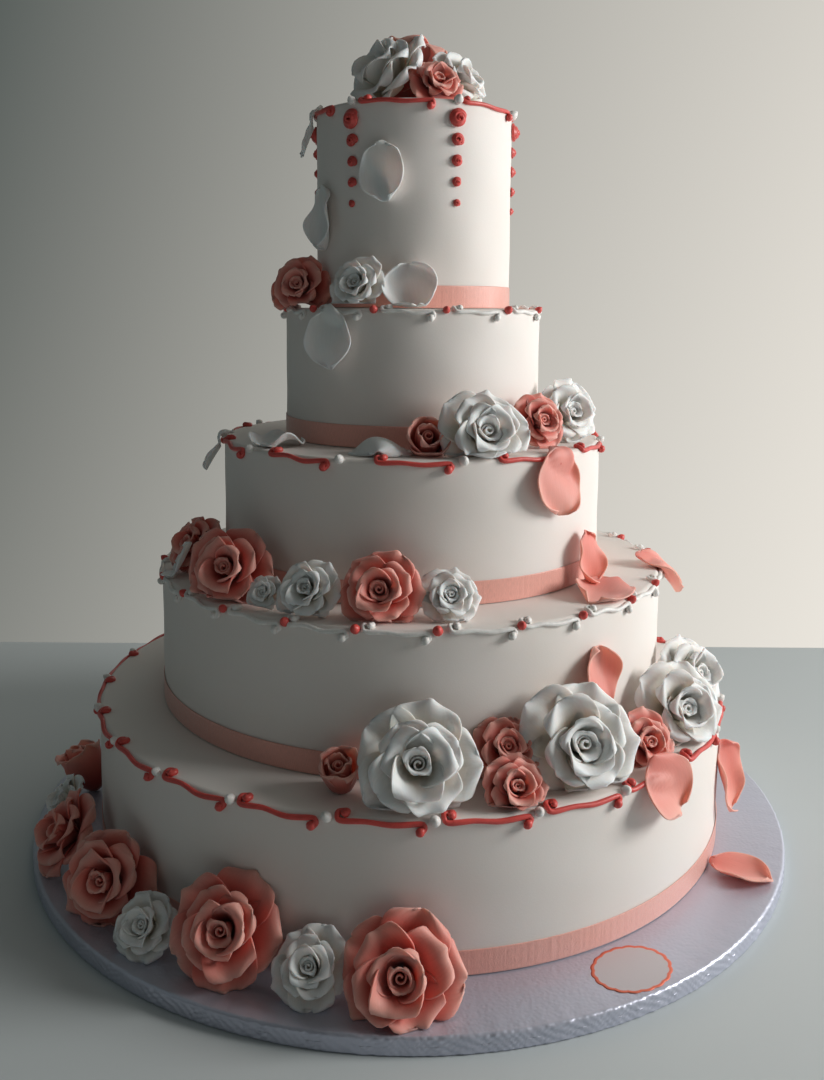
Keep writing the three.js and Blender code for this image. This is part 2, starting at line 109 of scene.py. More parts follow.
# Flowers and loose petals, shelf by shelf from the drum up. az is the azimuth of the middle, out its
# distance from the wall and up its height over the shelf. turn and tilt say where it faces against
# straight out, and roll turns it about that way. r, length and width are sizes. Angles are in degrees
# and lengths in mm. share is a rose's own size against r. A loose petal cups across by the share cup
# and bends along by bend radians. Its foot is as wide as the share foot of it, its waist is narrower
# by the share waist, the side that cut's sign names is narrower by its size, frill is how far its
# border waves, and curl rolls the side of its sign forward.
FLOWERS = (
    (
        flower("rose_drum_a_coral", -0.9, 29, 21.1, 28, 1, r=41),
        flower("rose_drum_b_white", -12.3, 23.5, 18.4, 40, 2, r=24),
        flower("rose_drum_c_coral", -24.3, 24, 30.6, 26, 3, r=38, turn=14),
        flower("rose_drum_d_white", -36.6, 31, 17.4, 35, 4, r=22, turn=14),
        flower("rose_drum_e_coral", -46.8, 28, 27, 22, 5, r=38, turn=30),
        flower("rose_drum_f_coral", -62.8, 33, 28.9, 30, 6, r=33, turn=6),
        flower("rose_drum_g_white", -77.6, 31, 16.6, 30, 7, r=21, turn=22),
        flower("rose_drum_h_coral", -88, 22, 18.6, 62, 8, r=20, bud=True),
        flower("petal_drum_coral", 61, 25, 4.2, 86, 9, length=46, width=38, cup=0.14, roll=180, foot=0.3),
    ),
    (
        flower("rose_base_a_white", 1.3, 31, 26.2, 28, 11, r=43),
        flower("bud_base_b_coral", -11.7, 16, 8.9, 62, 12, r=15),
        flower("rose_base_c_coral", 16, 38, 11.3, 36, 13, r=21),
        flower("rose_base_d_coral", 16.9, 14, 30.3, 40, 14, r=22, turn=-8),
        flower("rose_base_e_white", 28.6, 30, 28, 24, 16, r=44, turn=-14),
        flower("rose_base_f_coral", 44.3, 31, 12.8, 28, 17, r=22, turn=-18),
        flower("rose_base_g_white", 56.6, 33, 22.3, 24, 18, r=39, turn=-32),
        flower("rose_base_h_white", 70.3, 30, 29, 30, 19, r=36, turn=-26),
        flower("petal_base_i_coral", 38.5, 6.4, 56.3, 12, 20, length=46, width=36, cup=0.2, roll=-8,
               foot=0.45, frill=0.2),
        flower("petal_base_j_coral", 41.7, 55.5, -4.9, 22, 21, length=44, width=50, cup=0.08, roll=200,
               bend=0.2, foot=0.4, frill=0.08),
        flower("petal_base_k_coral", 71.4, 57.5, -50.4, 8, 22, length=58, width=46, cup=0.2, turn=-18,
               roll=184, waist=0.15, frill=0.25),
    ),
    (
        flower("rose_second_a_coral", -6.4, 31, 20.4, 26, 31, r=31.5),
        flower("rose_second_b_white", 8.4, 28, 16.2, 34, 32, r=19.5),
        flower("rose_second_c_white", -22, 33, 17.6, 30, 33, r=23),
        flower("rose_second_d_white", -32.4, 35, 11.1, 30, 34, r=13, turn=8),
        flower("rose_second_e_coral", -44.2, 34, 21.5, 24, 35, r=35, turn=26),
        flower("petal_second_f_white", -66.5, 40, 11.7, 25, 36, length=36, width=22, cup=0.2, turn=-12,
               roll=170),
        flower("rose_second_g_coral", -71.6, 27, 20.9, 34, 37, r=28, turn=24),
        flower("petal_second_h_coral", 54.7, 10, 21.8, 8, 38, length=42, width=30, cup=0.25, turn=-5,
               roll=184, foot=0.7, frill=0.35),
        flower("petal_second_i_coral", 50.7, 30, 3, 80, 39, length=62, width=42, cup=0.12, roll=100),
        flower("petal_second_j_coral", 81.4, 53, -2, 50, 40, length=50, width=32, cup=0.22, roll=188,
               bend=0.9, waist=0.1, frill=0.25),
    ),
    (
        flower("rose_third_a_white", 21.9, 36, 16.7, 25, 51, r=38, turn=-4),
        flower("bud_third_b_coral", 5, 18, 7.2, 35, 52, r=16.5),
        flower("rose_third_c_coral", 49.3, 24, 20.6, 20, 53, r=22, turn=-20),
        flower("rose_third_d_white", 70.4, 28, 22.8, 20, 54, r=31, turn=-36),
        flower("petal_third_e_coral", 43.3, 54, -18.8, 14, 55, length=52, width=60, cup=0.12, roll=178,
               bend=0.35, foot=0.4, cut=-0.3),
        flower("petal_third_f_white", -10.1, 26, 6, 80, 56, length=34, width=46, cup=-0.3, roll=184,
               bend=0.4, frill=0.1),
        flower("petal_third_g_white", -49.6, 27, 5, 80, 57, length=36, width=48, cup=0.2, roll=176,
               bend=1.3, frill=0.3),
        flower("petal_third_h_white", -80.5, 56, -9.9, 38, 58, length=40, width=24, cup=0.1, roll=180,
               bend=0.4, waist=0.4),
    ),
    (
        flower("rose_fourth_a_coral", -63.8, 20, 17.2, 16, 71, r=28, turn=42),
        flower("rose_fourth_b_white", -25.4, 18, 17.4, 22, 72, r=22.5),
        flower("petal_fourth_c_white", -1.3, 12, 14.7, 22, 73, length=42, width=42, cup=0.22, roll=12,
               foot=0.45, frill=0.25),
        flower("petal_fourth_d_white", -34.6, 30, -22.4, 6, 74, length=46, width=40, cup=0.12,
               roll=185, bend=0.2, curl=0.5),
    ),
    (
        flower("rose_top_a_white", -60, 29, 29.6, 35, 91, r=36, share=1.12),
        flower("rose_top_b_coral", 23.5, 42, 23, 30, 92, r=21.5, share=1.02),
        flower("rose_top_c_white", 75, 38, 26, 30, 93, r=32, turn=-20),
        flower("rose_top_d_coral", 180, 22, 31, 30, 94, r=33, share=1.14),
        flower("petal_top_e_white", -16.5, 81, -52.6, 0, 95, length=44, width=36, cup=0.22, roll=184),
        flower("petal_top_f_white", -60.6, 80.8, -83.3, 0, 96, length=50, width=40, cup=0.16, roll=176,
               frill=0.3),
        flower("petal_top_g_white", -84.6, 83, -13.2, 22, 97, length=44, width=24, cup=0.1, roll=180,
               bend=0.3, waist=0.6, frill=0.25),
    ),
)

# A sugar rose, layer by layer from the outside in, as shares of its radius. A layer's petals start at
# the foot (distance from the axis, height), lean out from the axis by lean degrees at the foot and at
# the lip, turn a further curl degrees back at the lip, and bend across to the radius cup. half is a
# petal's half width, side how far its side edges roll back and ruffle how far its lip waves. ring
# turns the layer and seeds its draws.
ROSE_LAYERS = (
    dict(ring=2, count=5, foot=(0.05, -0.47), length=1.06, lean=(60, 72), curl=44, cup=1.1, half=0.66,
         side=0.50, ruffle=0.06),
    dict(ring=4, count=4, foot=(0.05, -0.42), length=0.95, lean=(40, 48), curl=66, cup=0.60, half=0.62,
         side=0.42, ruffle=0.04),
    dict(ring=6, count=3, foot=(0.05, -0.38), length=0.88, lean=(34, 10), curl=84, cup=0.42, half=0.66,
         side=0.30, ruffle=0.012),
    dict(ring=7, count=2, foot=(0.04, -0.34), length=0.66, lean=(20, 0), curl=56, cup=0.20, half=0.42,
         side=0.16, ruffle=0.008),
)
BUD_LAYERS = (
    dict(ring=2, count=3, foot=(0.10, -0.96), length=2.25, lean=(58, -26), curl=64, cup=0.95, half=1.25,
         side=0.3, ruffle=0.05),
    dict(ring=4, count=3, foot=(0.08, -0.90), length=2.10, lean=(42, -30), curl=50, cup=0.62, half=0.90,
         side=0.3, ruffle=0.04),
)
# The widest petals of a large rose reach past its radius, so all of it is drawn in to this share.
ROSE_SHARE = 0.9
# The rolled hearts: how many turns, the radius inside and how much it grows, and both ends' heights.
ROSE_ROLL = dict(turns=1.5, inner=0.03, grow=0.09, foot=-0.3, top=0.24)
BUD_ROLL = dict(turns=1.6, inner=0.08, grow=0.16, foot=-0.6, top=0.86)


def linear(red, green, blue):
    """A screen colour from 0 to 255 as Blender's linear colour: ((c / 255 + 0.055) / 1.055) ** 2.4."""
    screen = np.array([red, green, blue]) / 255.0
    return tuple(np.where(screen <= 0.04045, screen / 12.92, ((screen + 0.055) / 1.055) ** 2.4))


def chance(n, seed):
    """A repeatable number from 0 to 1: the fraction of sin(12.9898 n + 78.233 seed) * 43758.5453."""
    value = np.sin(np.asarray(n, float) * 12.9898 + seed * 78.233) * 43758.5453
    return value - np.floor(value)


def unit(vectors):
    """Each vector divided by its length."""
    length = np.linalg.norm(vectors, axis=-1, keepdims=True)
    return vectors / np.maximum(length, 1e-12)


def stacked(*parts):
    """Arrays that broadcast together, as the last axis of one array."""
    return np.stack(np.broadcast_arrays(*parts), axis=-1)


def outward(azimuth):
    """The level direction away from the cake's axis: (sin a, -cos a, 0)."""
    a = np.radians(azimuth)
    return np.stack([np.sin(a), -np.cos(a), np.zeros_like(a)], axis=-1)


def quads_of(ids):
    """The faces of a grid of point numbers, whose last two axes are columns and rows."""
    corners = (ids[..., :-1, :-1], ids[..., 1:, :-1], ids[..., 1:, 1:], ids[..., :-1, 1:])
    return np.stack(corners, axis=-1).reshape(-1, 4)


def add_piece(name, points, quads, material, replaced=(), tris=None, uv=None, values=None):
    """A mesh object from arrays: points, four-cornered faces and three-cornered ones, smooth shaded.
    uv holds a pair for each point, and values the named numbers at each point."""
    tris = np.zeros((0, 3), int) if tris is None else tris
    corners = np.concatenate([quads.ravel(), tris.ravel()]).astype(np.int32)
    totals = np.concatenate([np.full(len(quads), 4), np.full(len(tris), 3)])
    starts = np.concatenate([[0], np.cumsum(totals)[:-1]])
    mesh = bpy.data.meshes.new(name)
    mesh.vertices.add(len(points))
    mesh.loops.add(len(corners))
    mesh.polygons.add(len(totals))
    mesh.loops.foreach_set("vertex_index", corners)
    mesh.polygons.foreach_set("loop_start", starts.astype(np.int32))
    mesh.polygons.foreach_set("use_smooth", np.ones(len(totals), bool))
    numbers = [(mesh.vertices, "co", points)]
    if uv is not None:
        numbers.append((mesh.uv_layers.new(name="UVMap").data, "uv", uv[corners]))
    for target, key, array in numbers:
        target.foreach_set(key, np.ascontiguousarray(array, np.float32).ravel())
    for key, array in (values or {}).items():
        attribute = mesh.attributes.new(key, "FLOAT", "POINT")
        attribute.data.foreach_set("value", np.ascontiguousarray(array, np.float32).ravel())
    mesh.update(calc_edges=True)
    mesh.validate()
    mesh.materials.append(material)
    piece = bpy.data.objects.new(name, mesh)
    bpy.context.scene.collection.objects.link(piece)
    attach(piece, BODY)
    if replaced:
        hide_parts(*replaced)
    return piece


def skin(count, rings, around):
    """The faces of tubes of closed rings, each capped by a tip at both ends. The points are numbered
    along each ring, ring by ring and tube by tube, and the pairs of tips come after all the rings."""
    ids = np.arange(count * rings * around).reshape(count, rings, around)
    closed = np.concatenate([ids, ids[..., :1]], axis=-1)
    tips = np.repeat(ids.size + np.arange(count * 2).reshape(count, 2, 1), around, axis=2)
    first = np.stack([closed[:, 0, 1:], closed[:, 0, :-1], tips[:, 0]], axis=-1)
    last = np.stack([closed[:, -1, :-1], closed[:, -1, 1:], tips[:, 1]], axis=-1)
    return quads_of(closed.transpose(0, 2, 1)), np.concatenate([first, last]).reshape(-1, 3)


def lathe(radius, height, around, shift=None):
    """A closed turned surface with poles at its ends: point i, j is at radius[i] and height[i], turned
    to azimuth j * 360 / around. shift(azimuth, i) moves each point outwards."""
    azimuth = np.arange(around) * 360.0 / around
    rho = np.repeat(radius[1:-1, None], around, axis=1)
    if shift is not None:
        rho = rho + shift(azimuth[None, :], np.arange(1, len(radius) - 1)[:, None])
    ring = outward(azimuth)[None] * rho[..., None]
    ring[..., 2] += height[1:-1, None]
    poles = np.array([[0, 0, height[0]], [0, 0, height[-1]]])
    points = np.concatenate([ring.reshape(-1, 3), poles])
    return points, *skin(1, len(radius) - 2, around)


def rounded_profile(wall, low, top, edge, foot_edge, steps):
    """A turned body's outline from the axis at the foot to the axis at the top, both rims rounded."""
    turn = np.linspace(0, np.pi / 2, steps)
    foot_r = wall - foot_edge + foot_edge * np.sin(turn)
    foot_z = low + foot_edge - foot_edge * np.cos(turn)
    side = np.linspace(low + foot_edge, top - edge, 3 * steps)[1:-1]
    rim_r = wall - edge + edge * np.cos(turn)
    rim_z = top - edge + edge * np.sin(turn)
    lid = np.linspace(wall - edge, 0, 2 * steps)[1:]
    radius = np.concatenate([[0], foot_r, np.full(len(side), wall), rim_r, lid])
    height = np.concatenate([[low], foot_z, side, rim_z, np.full(len(lid), top)])
    return radius, height


def leaves(sheets, thickness, edge=0.10):
    """Closed thin leaves round the sheets (leaf, column, row, xyz): the two faces stand half the
    thickness off the sheet along its normal, and come together at its border, where the thickness
    falls as the square root of the distance to it."""
    count, columns, rows = sheets.shape[:3]
    across = np.gradient(sheets, axis=1)
    along = np.gradient(sheets, axis=2)
    normal = unit(np.cross(across, along))
    u = np.abs(np.linspace(-1, 1, columns))[:, None]
    v = np.linspace(0, 1, rows)[None, :]
    rim = np.minimum(np.minimum(1 - u, 2 * v), 2 * (1 - v))
    half = 0.5 * thickness * np.sqrt(np.clip(rim / edge, 0, 1))[None, :, :, None]
    inner = np.zeros((columns, rows), bool)
    inner[1:-1, 1:-1] = True
    front = sheets + normal * half
    back = (sheets - normal * half)[:, inner]
    ids = np.arange(count * columns * rows).reshape(count, columns, rows)
    behind = ids.copy()
    behind[:, inner] = ids.size + np.arange(count * inner.sum()).reshape(count, -1)
    points = np.concatenate([front.reshape(-1, 3), back.reshape(-1, 3)])
    quads = np.concatenate([quads_of(ids), quads_of(behind)[:, ::-1]])
    return points, quads, inner


def both_sides(numbers, inner):
    """A sheet's numbers for the points that leaves() makes: the front's, then the back's inner ones."""
    return np.concatenate([numbers.reshape(-1, *numbers.shape[3:]),
                           numbers[:, inner].reshape(-1, *numbers.shape[3:])])


def smooth(knots, samples):
    """Catmull-Rom curve through the knots: 0.5 (2b + (c-a)t + (2a-5b+4c-d)t^2 + (3b-a-3c+d)t^3)."""
    knots = np.asarray(knots, float)
    ends = (2 * knots[:1] - knots[1:2], knots, 2 * knots[-1:] - knots[-2:-1])
    p = np.concatenate(ends)
    t = np.linspace(0, len(knots) - 1, samples)
    k = np.minimum(t.astype(int), len(knots) - 2)
    t = (t - k)[:, None]
    a, b, c, d = p[k], p[k + 1], p[k + 2], p[k + 3]
    return 0.5 * (2 * b + (c - a) * t + (2 * a - 5 * b + 4 * c - d) * t**2
                  + (3 * b - a - 3 * c + d) * t**3)


def tubes(paths, ups, radii, sides, ridges=0, depth=0.0):
    """Closed tubes along paths (tube, step, xyz). Round step s, the point at angle t stands
    radius[s] (1 + depth cos(ridges t)) off the path, along cos t * up + sin t * side."""
    ahead = unit(np.gradient(paths, axis=1))
    side = unit(np.cross(ahead, ups))
    up = np.cross(side, ahead)
    t = np.arange(sides) * 2 * np.pi / sides
    reach = radii[..., None] * (1 + depth * np.cos(ridges * t))
    spread = np.cos(t)[:, None] * up[:, :, None] + np.sin(t)[:, None] * side[:, :, None]
    rings = paths[:, :, None] + reach[..., None] * spread
    tips = np.stack([paths[:, 0] - ahead[:, 0] * radii[:, :1] * 0.5,
                     paths[:, -1] + ahead[:, -1] * radii[:, -1:] * 0.5], axis=1)
    points = np.concatenate([rings.reshape(-1, 3), tips.reshape(-1, 3)])
    return points, *skin(*paths.shape[:2], sides)


def pearls(centres, ups, radii, rings=9, sides=12):
    """Piped pearls, each a ball drawn out to a small peak: at polar angle p the point stands
    radius sin p (1 - 0.12 (p / pi)^3) off its axis and -radius cos p (1 + 0.3 (p / pi)^6) along it."""
    p = np.linspace(0, np.pi, rings)
    out = np.sin(p) * (1 - 0.12 * (p / np.pi) ** 3)
    along = -np.cos(p) * (1 + 0.3 * (p / np.pi) ** 6)
    start = centres + ups * (along[0] * radii)[:, None]
    paths = centres[:, None] + ups[:, None] * (along[None, 1:-1] * radii[:, None])[..., None]
    ups_to = np.repeat(unit(np.cross(ups, [0.3, 0.2, 1.0]))[:, None], rings - 2, axis=1)
    points, quads, tris = tubes(paths, ups_to, out[None, 1:-1] * radii[:, None], sides)
    count = len(centres)
    tips = len(points) - 2 * count
    points[tips::2] = start
    points[tips + 1::2] = centres + ups * (along[-1] * radii)[:, None]
    return points, quads, tris


def join(parts):
    """Several (points, quads, tris) as one, the point numbers moved on."""
    points, quads, tris, offset = [], [], [], 0
    for each in parts:
        points.append(each[0])
        quads.append(each[1] + offset)
        tris.append(each[2] + offset)
        offset += len(each[0])
    return np.concatenate(points), np.concatenate(quads), np.concatenate(tris)


def on_rim(k, azimuth, across, lift):
    """Points on tier k's rim, and the way off the icing there. across is measured over the rounded
    rim from the middle of its round: positive runs in over the top, negative down the side."""
    edge = bpy.context.scene.cake.edge_round
    arc = edge * np.pi / 4
    lean = np.pi / 4 + np.clip(across, -arc, arc) / edge
    rho = WALLS[k] - edge + (edge + lift) * np.cos(lean) - np.maximum(across - arc, 0)
    z = TOPS[k] - edge + (edge + lift) * np.sin(lean) + np.minimum(across + arc, 0)
    level = outward(azimuth)
    up = level * np.cos(lean)[..., None]
    up[..., 2] += np.sin(lean)
    points = level * rho[..., None]
    points[..., 2] += z
    return points, up


def frame_of(item, shelf):
    """A flower's place, and its axes as columns: right, upward and the way it faces."""
    height, wall = shelf
    azimuth = item["az"] + item.get("turn", 0)
    place = outward(np.float64(item["az"])) * (wall + item["out"] * MM)
    place[2] += height + item["up"] * MM
    tilt = np.radians(item["tilt"])
    normal = outward(np.float64(azimuth)) * np.cos(tilt)
    normal[2] = np.sin(tilt)
    a = np.radians(azimuth)
    right = np.array([np.cos(a), np.sin(a), 0.0])
    upward = np.cross(normal, right)
    roll = np.radians(item.get("roll", 0))
    turned = right * np.cos(roll) + upward * np.sin(roll)
    raised = upward * np.cos(roll) - right * np.sin(roll)
    return place, np.stack([turned, raised, normal], axis=1)


# A loose petal passes a rim along a round of radius INSET, swollen by clear over the piping. The
# swelling is centred below the rim and inside the wall, and fades over the sizes tall and deep.
INSET = 14 * MM
PIPING = dict(clear=6 * MM, below=4 * MM, tall=8 * MM, inside=1.5 * MM, deep=7 * MM)


def push_out(points, rho, k, clear, where):
    """Moves the points at radius rho where a condition holds out of shelf k's wall and ribbon."""
    height, wall = SHELVES[k]
    banded = points[..., 2] < height + RIBBON_TALL
    side = np.where(where, wall + clear + np.where(banded, RIBBON_OFF, 0.0), 0.0)
    points[..., :2] *= np.maximum(side / np.maximum(rho, 1e-6), 1.0)[..., None]
    return points


def keep_off(points, k, clear):
    """A loose petal's points that fall inside the cake move out of it. On the drum they go up, at the
    wall outwards, and round a tier's rim along a ray from a line INSET inside it, as far as a curve
    |x|^4 + |z|^4 = 1 round that line, which passes over the piping."""
    moved = points.copy()
    height = SHELVES[k][0]
    rho = np.hypot(moved[..., 0], moved[..., 1])
    if k == 0:
        moved[..., 2] = np.maximum(moved[..., 2], height + clear)
    else:
        x = np.clip((rho - WALLS[k - 1]) / INSET + 1, 0, None)
        z = np.clip((moved[..., 2] - height) / INSET + 1, 0, None)
        size = (x**4 + z**4) ** 0.25
        piped = np.exp(-((moved[..., 2] - height + PIPING["below"]) / PIPING["tall"]) ** 2)
        piped = piped * np.exp(-((rho - WALLS[k - 1] + PIPING["inside"]) / PIPING["deep"]) ** 2)
        least = 1 + (clear + PIPING["clear"] * piped) / INSET
        grown = np.where(size < least, least / np.maximum(size, 0.05), 1.0)
        low = (x == 0) & (z == 0)
        level = rho + np.where(x > 0, x * (grown - 1) * INSET, 0)
        moved[..., :2] *= (level / np.maximum(rho, 1e-6))[..., None]
        moved[..., 2] += np.where(low, height + clear - moved[..., 2], z * (grown - 1) * INSET)
        rho = level
    return push_out(moved, rho, k, clear, moved[..., 2] > height)


def drape(points, k, clear):
    """A flower's points laid over shelf k: none lies lower than the shelf and the piping along its rim,
    nor, past the rim, lower than a line that falls away from it, and none stands inside the wall."""
    height, wall = SHELVES[k]
    radius = ([DRUM_RADIUS] + WALLS)[k]
    fall, piped = (0.3, 0.0) if k == 0 else (0.75, 3.2 * MM)
    starts, fades = 15 * MM, 6 * MM
    laid = points.copy()
    rho = np.hypot(laid[..., 0], laid[..., 1])
    near = np.clip((rho - radius + starts) / fades, 0, 1)
    least = height + clear + piped * near**2 * (3 - 2 * near) - fall * np.maximum(rho - radius, 0)
    laid[..., 2] = np.maximum(laid[..., 2], least)
    return push_out(laid, rho, k, clear, wall > 0)


# The grid of a rose's petal and that of a loose one, as columns across and rows along.
PETAL_COLUMNS, PETAL_ROWS = 21, 17
LOOSE_COLUMNS, LOOSE_ROWS = 27, 25


def edged(count):
    """Shares from -1 to 1 that crowd towards both ends: sin of an even run of angles."""
    return np.sin(np.linspace(-np.pi / 2, np.pi / 2, count))


def petal_layer(layer, seed):
    """One layer of a rose's petals. A petal's middle line leaves its foot at lean degrees from the
    axis and turns back at the lip; across, the petal bends to the radius cup, and its edge ripples.
    Returns the sheets, a number from 0 (painted shade deep inside) to 1 (painted light at the lip) for the
    colour, and the UV pairs."""
    n = np.arange(layer["count"])[:, None, None]
    u = edged(PETAL_COLUMNS)[None, :, None]
    v = np.sin(np.linspace(0, np.pi / 2, PETAL_ROWS))[None, None, :]
    ring = layer["ring"]

    def luck(shift):
        return chance(n + shift, seed + ring)

    size = 0.92 + 0.14 * luck(20)
    jitter, sway = luck(5) - 0.5, luck(11) - 0.5
    angle = np.radians(n * 360.0 / layer["count"] + 14 * (luck(0) - 0.5) - 36 * ring)
    length = layer["length"] * size * (1 - 0.10 * u**2 + 0.02 * (1 - np.abs(u)) ** 3)
    lip = np.clip((v - 0.62) / 0.38, 0, 1)
    curl = layer["curl"] * (0.85 + 0.25 * u * u * (1 + 1.6 * sway * np.sign(u))) * (1 + 0.7 * jitter)
    first, last = layer["lean"]
    lean = np.radians(first + (last - first) * v + 9 * jitter + 7 * sway * u * v + curl * lip**2)
    step = np.diff(v, axis=2, prepend=0.0) * length
    foot_r, foot_z = layer["foot"]
    rho = foot_r + np.cumsum(np.sin(lean) * step, axis=2)
    z = foot_z + np.cumsum(np.cos(lean) * step, axis=2)
    width = layer["half"] * size * np.sin(np.pi * (0.09 + 0.52 * v)) ** 0.85 * np.sqrt(1 - 0.94 * v**9)
    bend = layer["cup"] * (0.42 + 0.58 * v) * (1 + 0.25 * jitter)
    swing = u * width / bend
    sideways = bend * np.sin(swing)
    inward = bend * (1 - np.cos(swing))
    ripple = layer["ruffle"] * v**3 * np.sin(5.5 * u + 6.28 * luck(31))
    inward = inward - ripple - 0.05 * u * v - layer["side"] * v * np.clip(np.abs(u) - 0.5, 0, 1) ** 2
    rho = rho - inward * np.cos(lean)
    z = z + inward * np.sin(lean)
    x = rho * np.cos(angle) - sideways * np.sin(angle)
    y = rho * np.sin(angle) + sideways * np.cos(angle)
    sheets = stacked(x, y, z)
    # Painted shade: the colour darkens towards each petal's foot, more in the outer layers. Painted light:
    # it pales towards the lip.
    painted_shade_to_light = np.clip(0.55 * v + 0.45 * v**5 - 0.25 * (7 - ring) / 7 * (1 - v) + 0.08 * jitter, 0, 1)
    return sheets, np.broadcast_to(painted_shade_to_light, sheets.shape[:3]), stacked(0.5 + 0.5 * u, v, n)[..., :2]


def rolled_heart(roll):
    """A rose's rolled middle: a sheet wound on the axis, its radius growing evenly with the turn."""
    u = np.linspace(0, 1, PETAL_COLUMNS)[None, :, None]
    v = np.linspace(0, 1, PETAL_ROWS)[None, None, :]
    angle = 2 * np.pi * roll["turns"] * u
    rho = (roll["inner"] + roll["grow"] * u) * np.minimum(0.1 + 3 * v, 1.12 - 0.2 * v + 0.16 * v**6)
    foot = roll["foot"] * u + (roll["top"] - 0.13) * (1 - u)
    z = foot + (roll["top"] - 0.05 * u - foot) * v
    sheets = stacked(rho * np.cos(angle), rho * np.sin(angle), z)
    # Painted shade low in the rolled heart, fading to painted light at its top.
    return sheets, np.broadcast_to(0.15 + 0.75 * v**3, sheets.shape[:3]), stacked(u, v)


def rose_sheets(item):
    """All the sheets of a rose or a bud, in its own frame, its radius taken as 1."""
    roll, layers = (BUD_ROLL, BUD_LAYERS) if item["bud"] else (ROSE_ROLL, ROSE_LAYERS)
    made = [rolled_heart(roll)] + [petal_layer(layer, item["seed"]) for layer in layers]
    return [np.concatenate(kind) for kind in zip(*made)]


def petal_outline(item, v):
    """Half a loose petal's width at share v of its length: it grows from the foot as a quarter of a
    sine, is drawn in at the waist and closes in two round ends."""
    foot = item.get("foot", 0.6)
    half = foot + (1 - foot) * np.sin(np.pi / 2 * np.clip(v / 0.6, 0, 1))
    half = half * np.sqrt(1 - 0.94 * np.clip((v - 0.45) / 0.55, 0, 1) ** 2.6)
    half = half * np.sqrt(1 - 0.9 * np.clip((0.14 - v) / 0.14, 0, 1) ** 2)
    waist = item.get("waist", 0) * np.exp(-(((v - 0.62) / 0.16) ** 2))
    return half * (1 - waist) * item["width"] * MM / 2


def loose_sheet(item):
    """A loose petal: broad at its free end, cupped across, bent along and rippled, its middle the
    origin, its length along y and its face along z. A curled side rolls forward to a small radius."""
    u = edged(LOOSE_COLUMNS)[:, None]
    v = (0.5 + 0.5 * edged(LOOSE_ROWS))[None, :]
    length, width = item["length"] * MM, item["width"] * MM
    s = (v - 0.5) * length * (1 - 0.16 * np.abs(u) ** 2.4)
    cut = item.get("cut", 0)
    x = petal_outline(item, v) * u * np.where(u * cut > 0, 1 - abs(cut), 1.0)
    side = np.clip(np.abs(u) - 0.55, 0, 1) ** 2
    z = item["cup"] * width * (u * u - 0.35) * (0.4 + 0.6 * v)
    z = z + 0.05 * width * np.sin(2.6 * u + 4.4 * v + item["seed"])
    frill = item.get("frill", 0.12) * width * (side + np.clip(v - 0.8, 0, 1) ** 2)
    z = z + frill * np.sin(9 * v + 5 * u + 2 * item["seed"])
    z = z + 0.22 * width * np.clip(np.abs(u) - 0.72, 0, 1) ** 2 * v
    curl = item.get("curl", 0)
    if curl:
        start, bend, most = 0.35 * width / 2, 0.14 * width / abs(curl), 2.6
        over = np.clip(np.sign(curl) * x - start, 0, None)
        turn = np.minimum(over / bend, most)
        x = np.where(over > 0, np.sign(curl) * (start + bend * np.sin(turn)), x)
        z = z + np.where(over > 0, bend * (1 - np.cos(turn)), 0)
    if item.get("bend"):
        around = length / item["bend"]
        turn = s / around
        s, z = (around + z) * np.sin(turn), (around + z) * np.cos(turn) - around
    sheets = stacked(x, s, z)[None]
    # Painted light along the petal's border and free end, over its body colour.
    painted_shade_to_light = np.clip(0.5 + 0.3 * v + 0.3 * np.maximum(np.abs(u), v) ** 8, 0, 1)
    return sheets, np.broadcast_to(painted_shade_to_light, sheets.shape[:3]), stacked(0.5 + 0.5 * u, v)[None]


def add_flower(item, shelf, material, thickness):
    """One rose, bud or loose petal in its place, clear of the cake, for its solid. A small flower's
    sugar is thinner, a large rose is drawn in, and a rose sinks to its shelf by up to 4 mm."""
    place, axes = frame_of(item, SHELVES[shelf])
    if item["loose"]:
        sheets, painted_shade_to_light, uv = loose_sheet(item)
        placed = keep_off(sheets @ axes.T + place, shelf, thickness * 0.5 + 0.15 * MM)
    else:
        sheets, painted_shade_to_light, uv = rose_sheets(item)
        thickness = thickness * min(1.0, 0.45 + item["r"] / 60)
        share = item.get("share", np.clip(1.3 - item["r"] / 75, ROSE_SHARE, 1.02))
        placed = sheets * item["r"] * share * MM @ axes.T + place
        gap = placed[..., 2].min() - SHELVES[shelf][0]
        placed[..., 2] -= np.clip(gap, 0, 4 * MM)
        placed = drape(placed, shelf, thickness * 0.5 + 0.15 * MM)
    points, quads, inner = leaves(placed, thickness)
    # The "lip" numbers carry each point's painted shade and painted light into the sugar's colour.
    add_piece("sugar_" + item["name"], points, quads, material, [item["name"]],
              uv=both_sides(uv, inner), values={"lip": both_sides(painted_shade_to_light, inner)})


def set_inputs(node, numbers):
    """Sets the named sockets of a shader node."""
    for key, value in numbers.items():
        node.inputs[key].default_value = value


def new_node(tree, kind, numbers=None):
    """A shader node of the given kind, with its named sockets set."""
    node = tree.nodes.new("ShaderNode" + kind)
    set_inputs(node, numbers or {})
    return node


def new_material(name, colour, roughness, numbers=None):
    """A node material with one Principled shader. Returns the material, its tree and the shader."""
    material = bpy.data.materials.new(name)
    material.use_nodes = True
    shader = material.node_tree.nodes["Principled BSDF"]
    set_inputs(shader, {"Base Color": (*colour[:3], 1), "Roughness": roughness, **(numbers or {})})
    return material, material.node_tree, shader


def noise_on(tree, scale, detail=3.0, source="Object", stretch=(1, 1, 1)):
    """A noise texture on Object or UV coordinates, stretched along an axis where a number is low."""
    coords = new_node(tree, "TexCoord")
    mapping = new_node(tree, "Mapping", {"Scale": stretch})
    noise = new_node(tree, "TexNoise", {"Scale": scale, "Detail": detail})
    tree.links.new(coords.outputs[source], mapping.inputs["Vector"])
    tree.links.new(mapping.outputs["Vector"], noise.inputs["Vector"])
    return noise.outputs["Fac"]


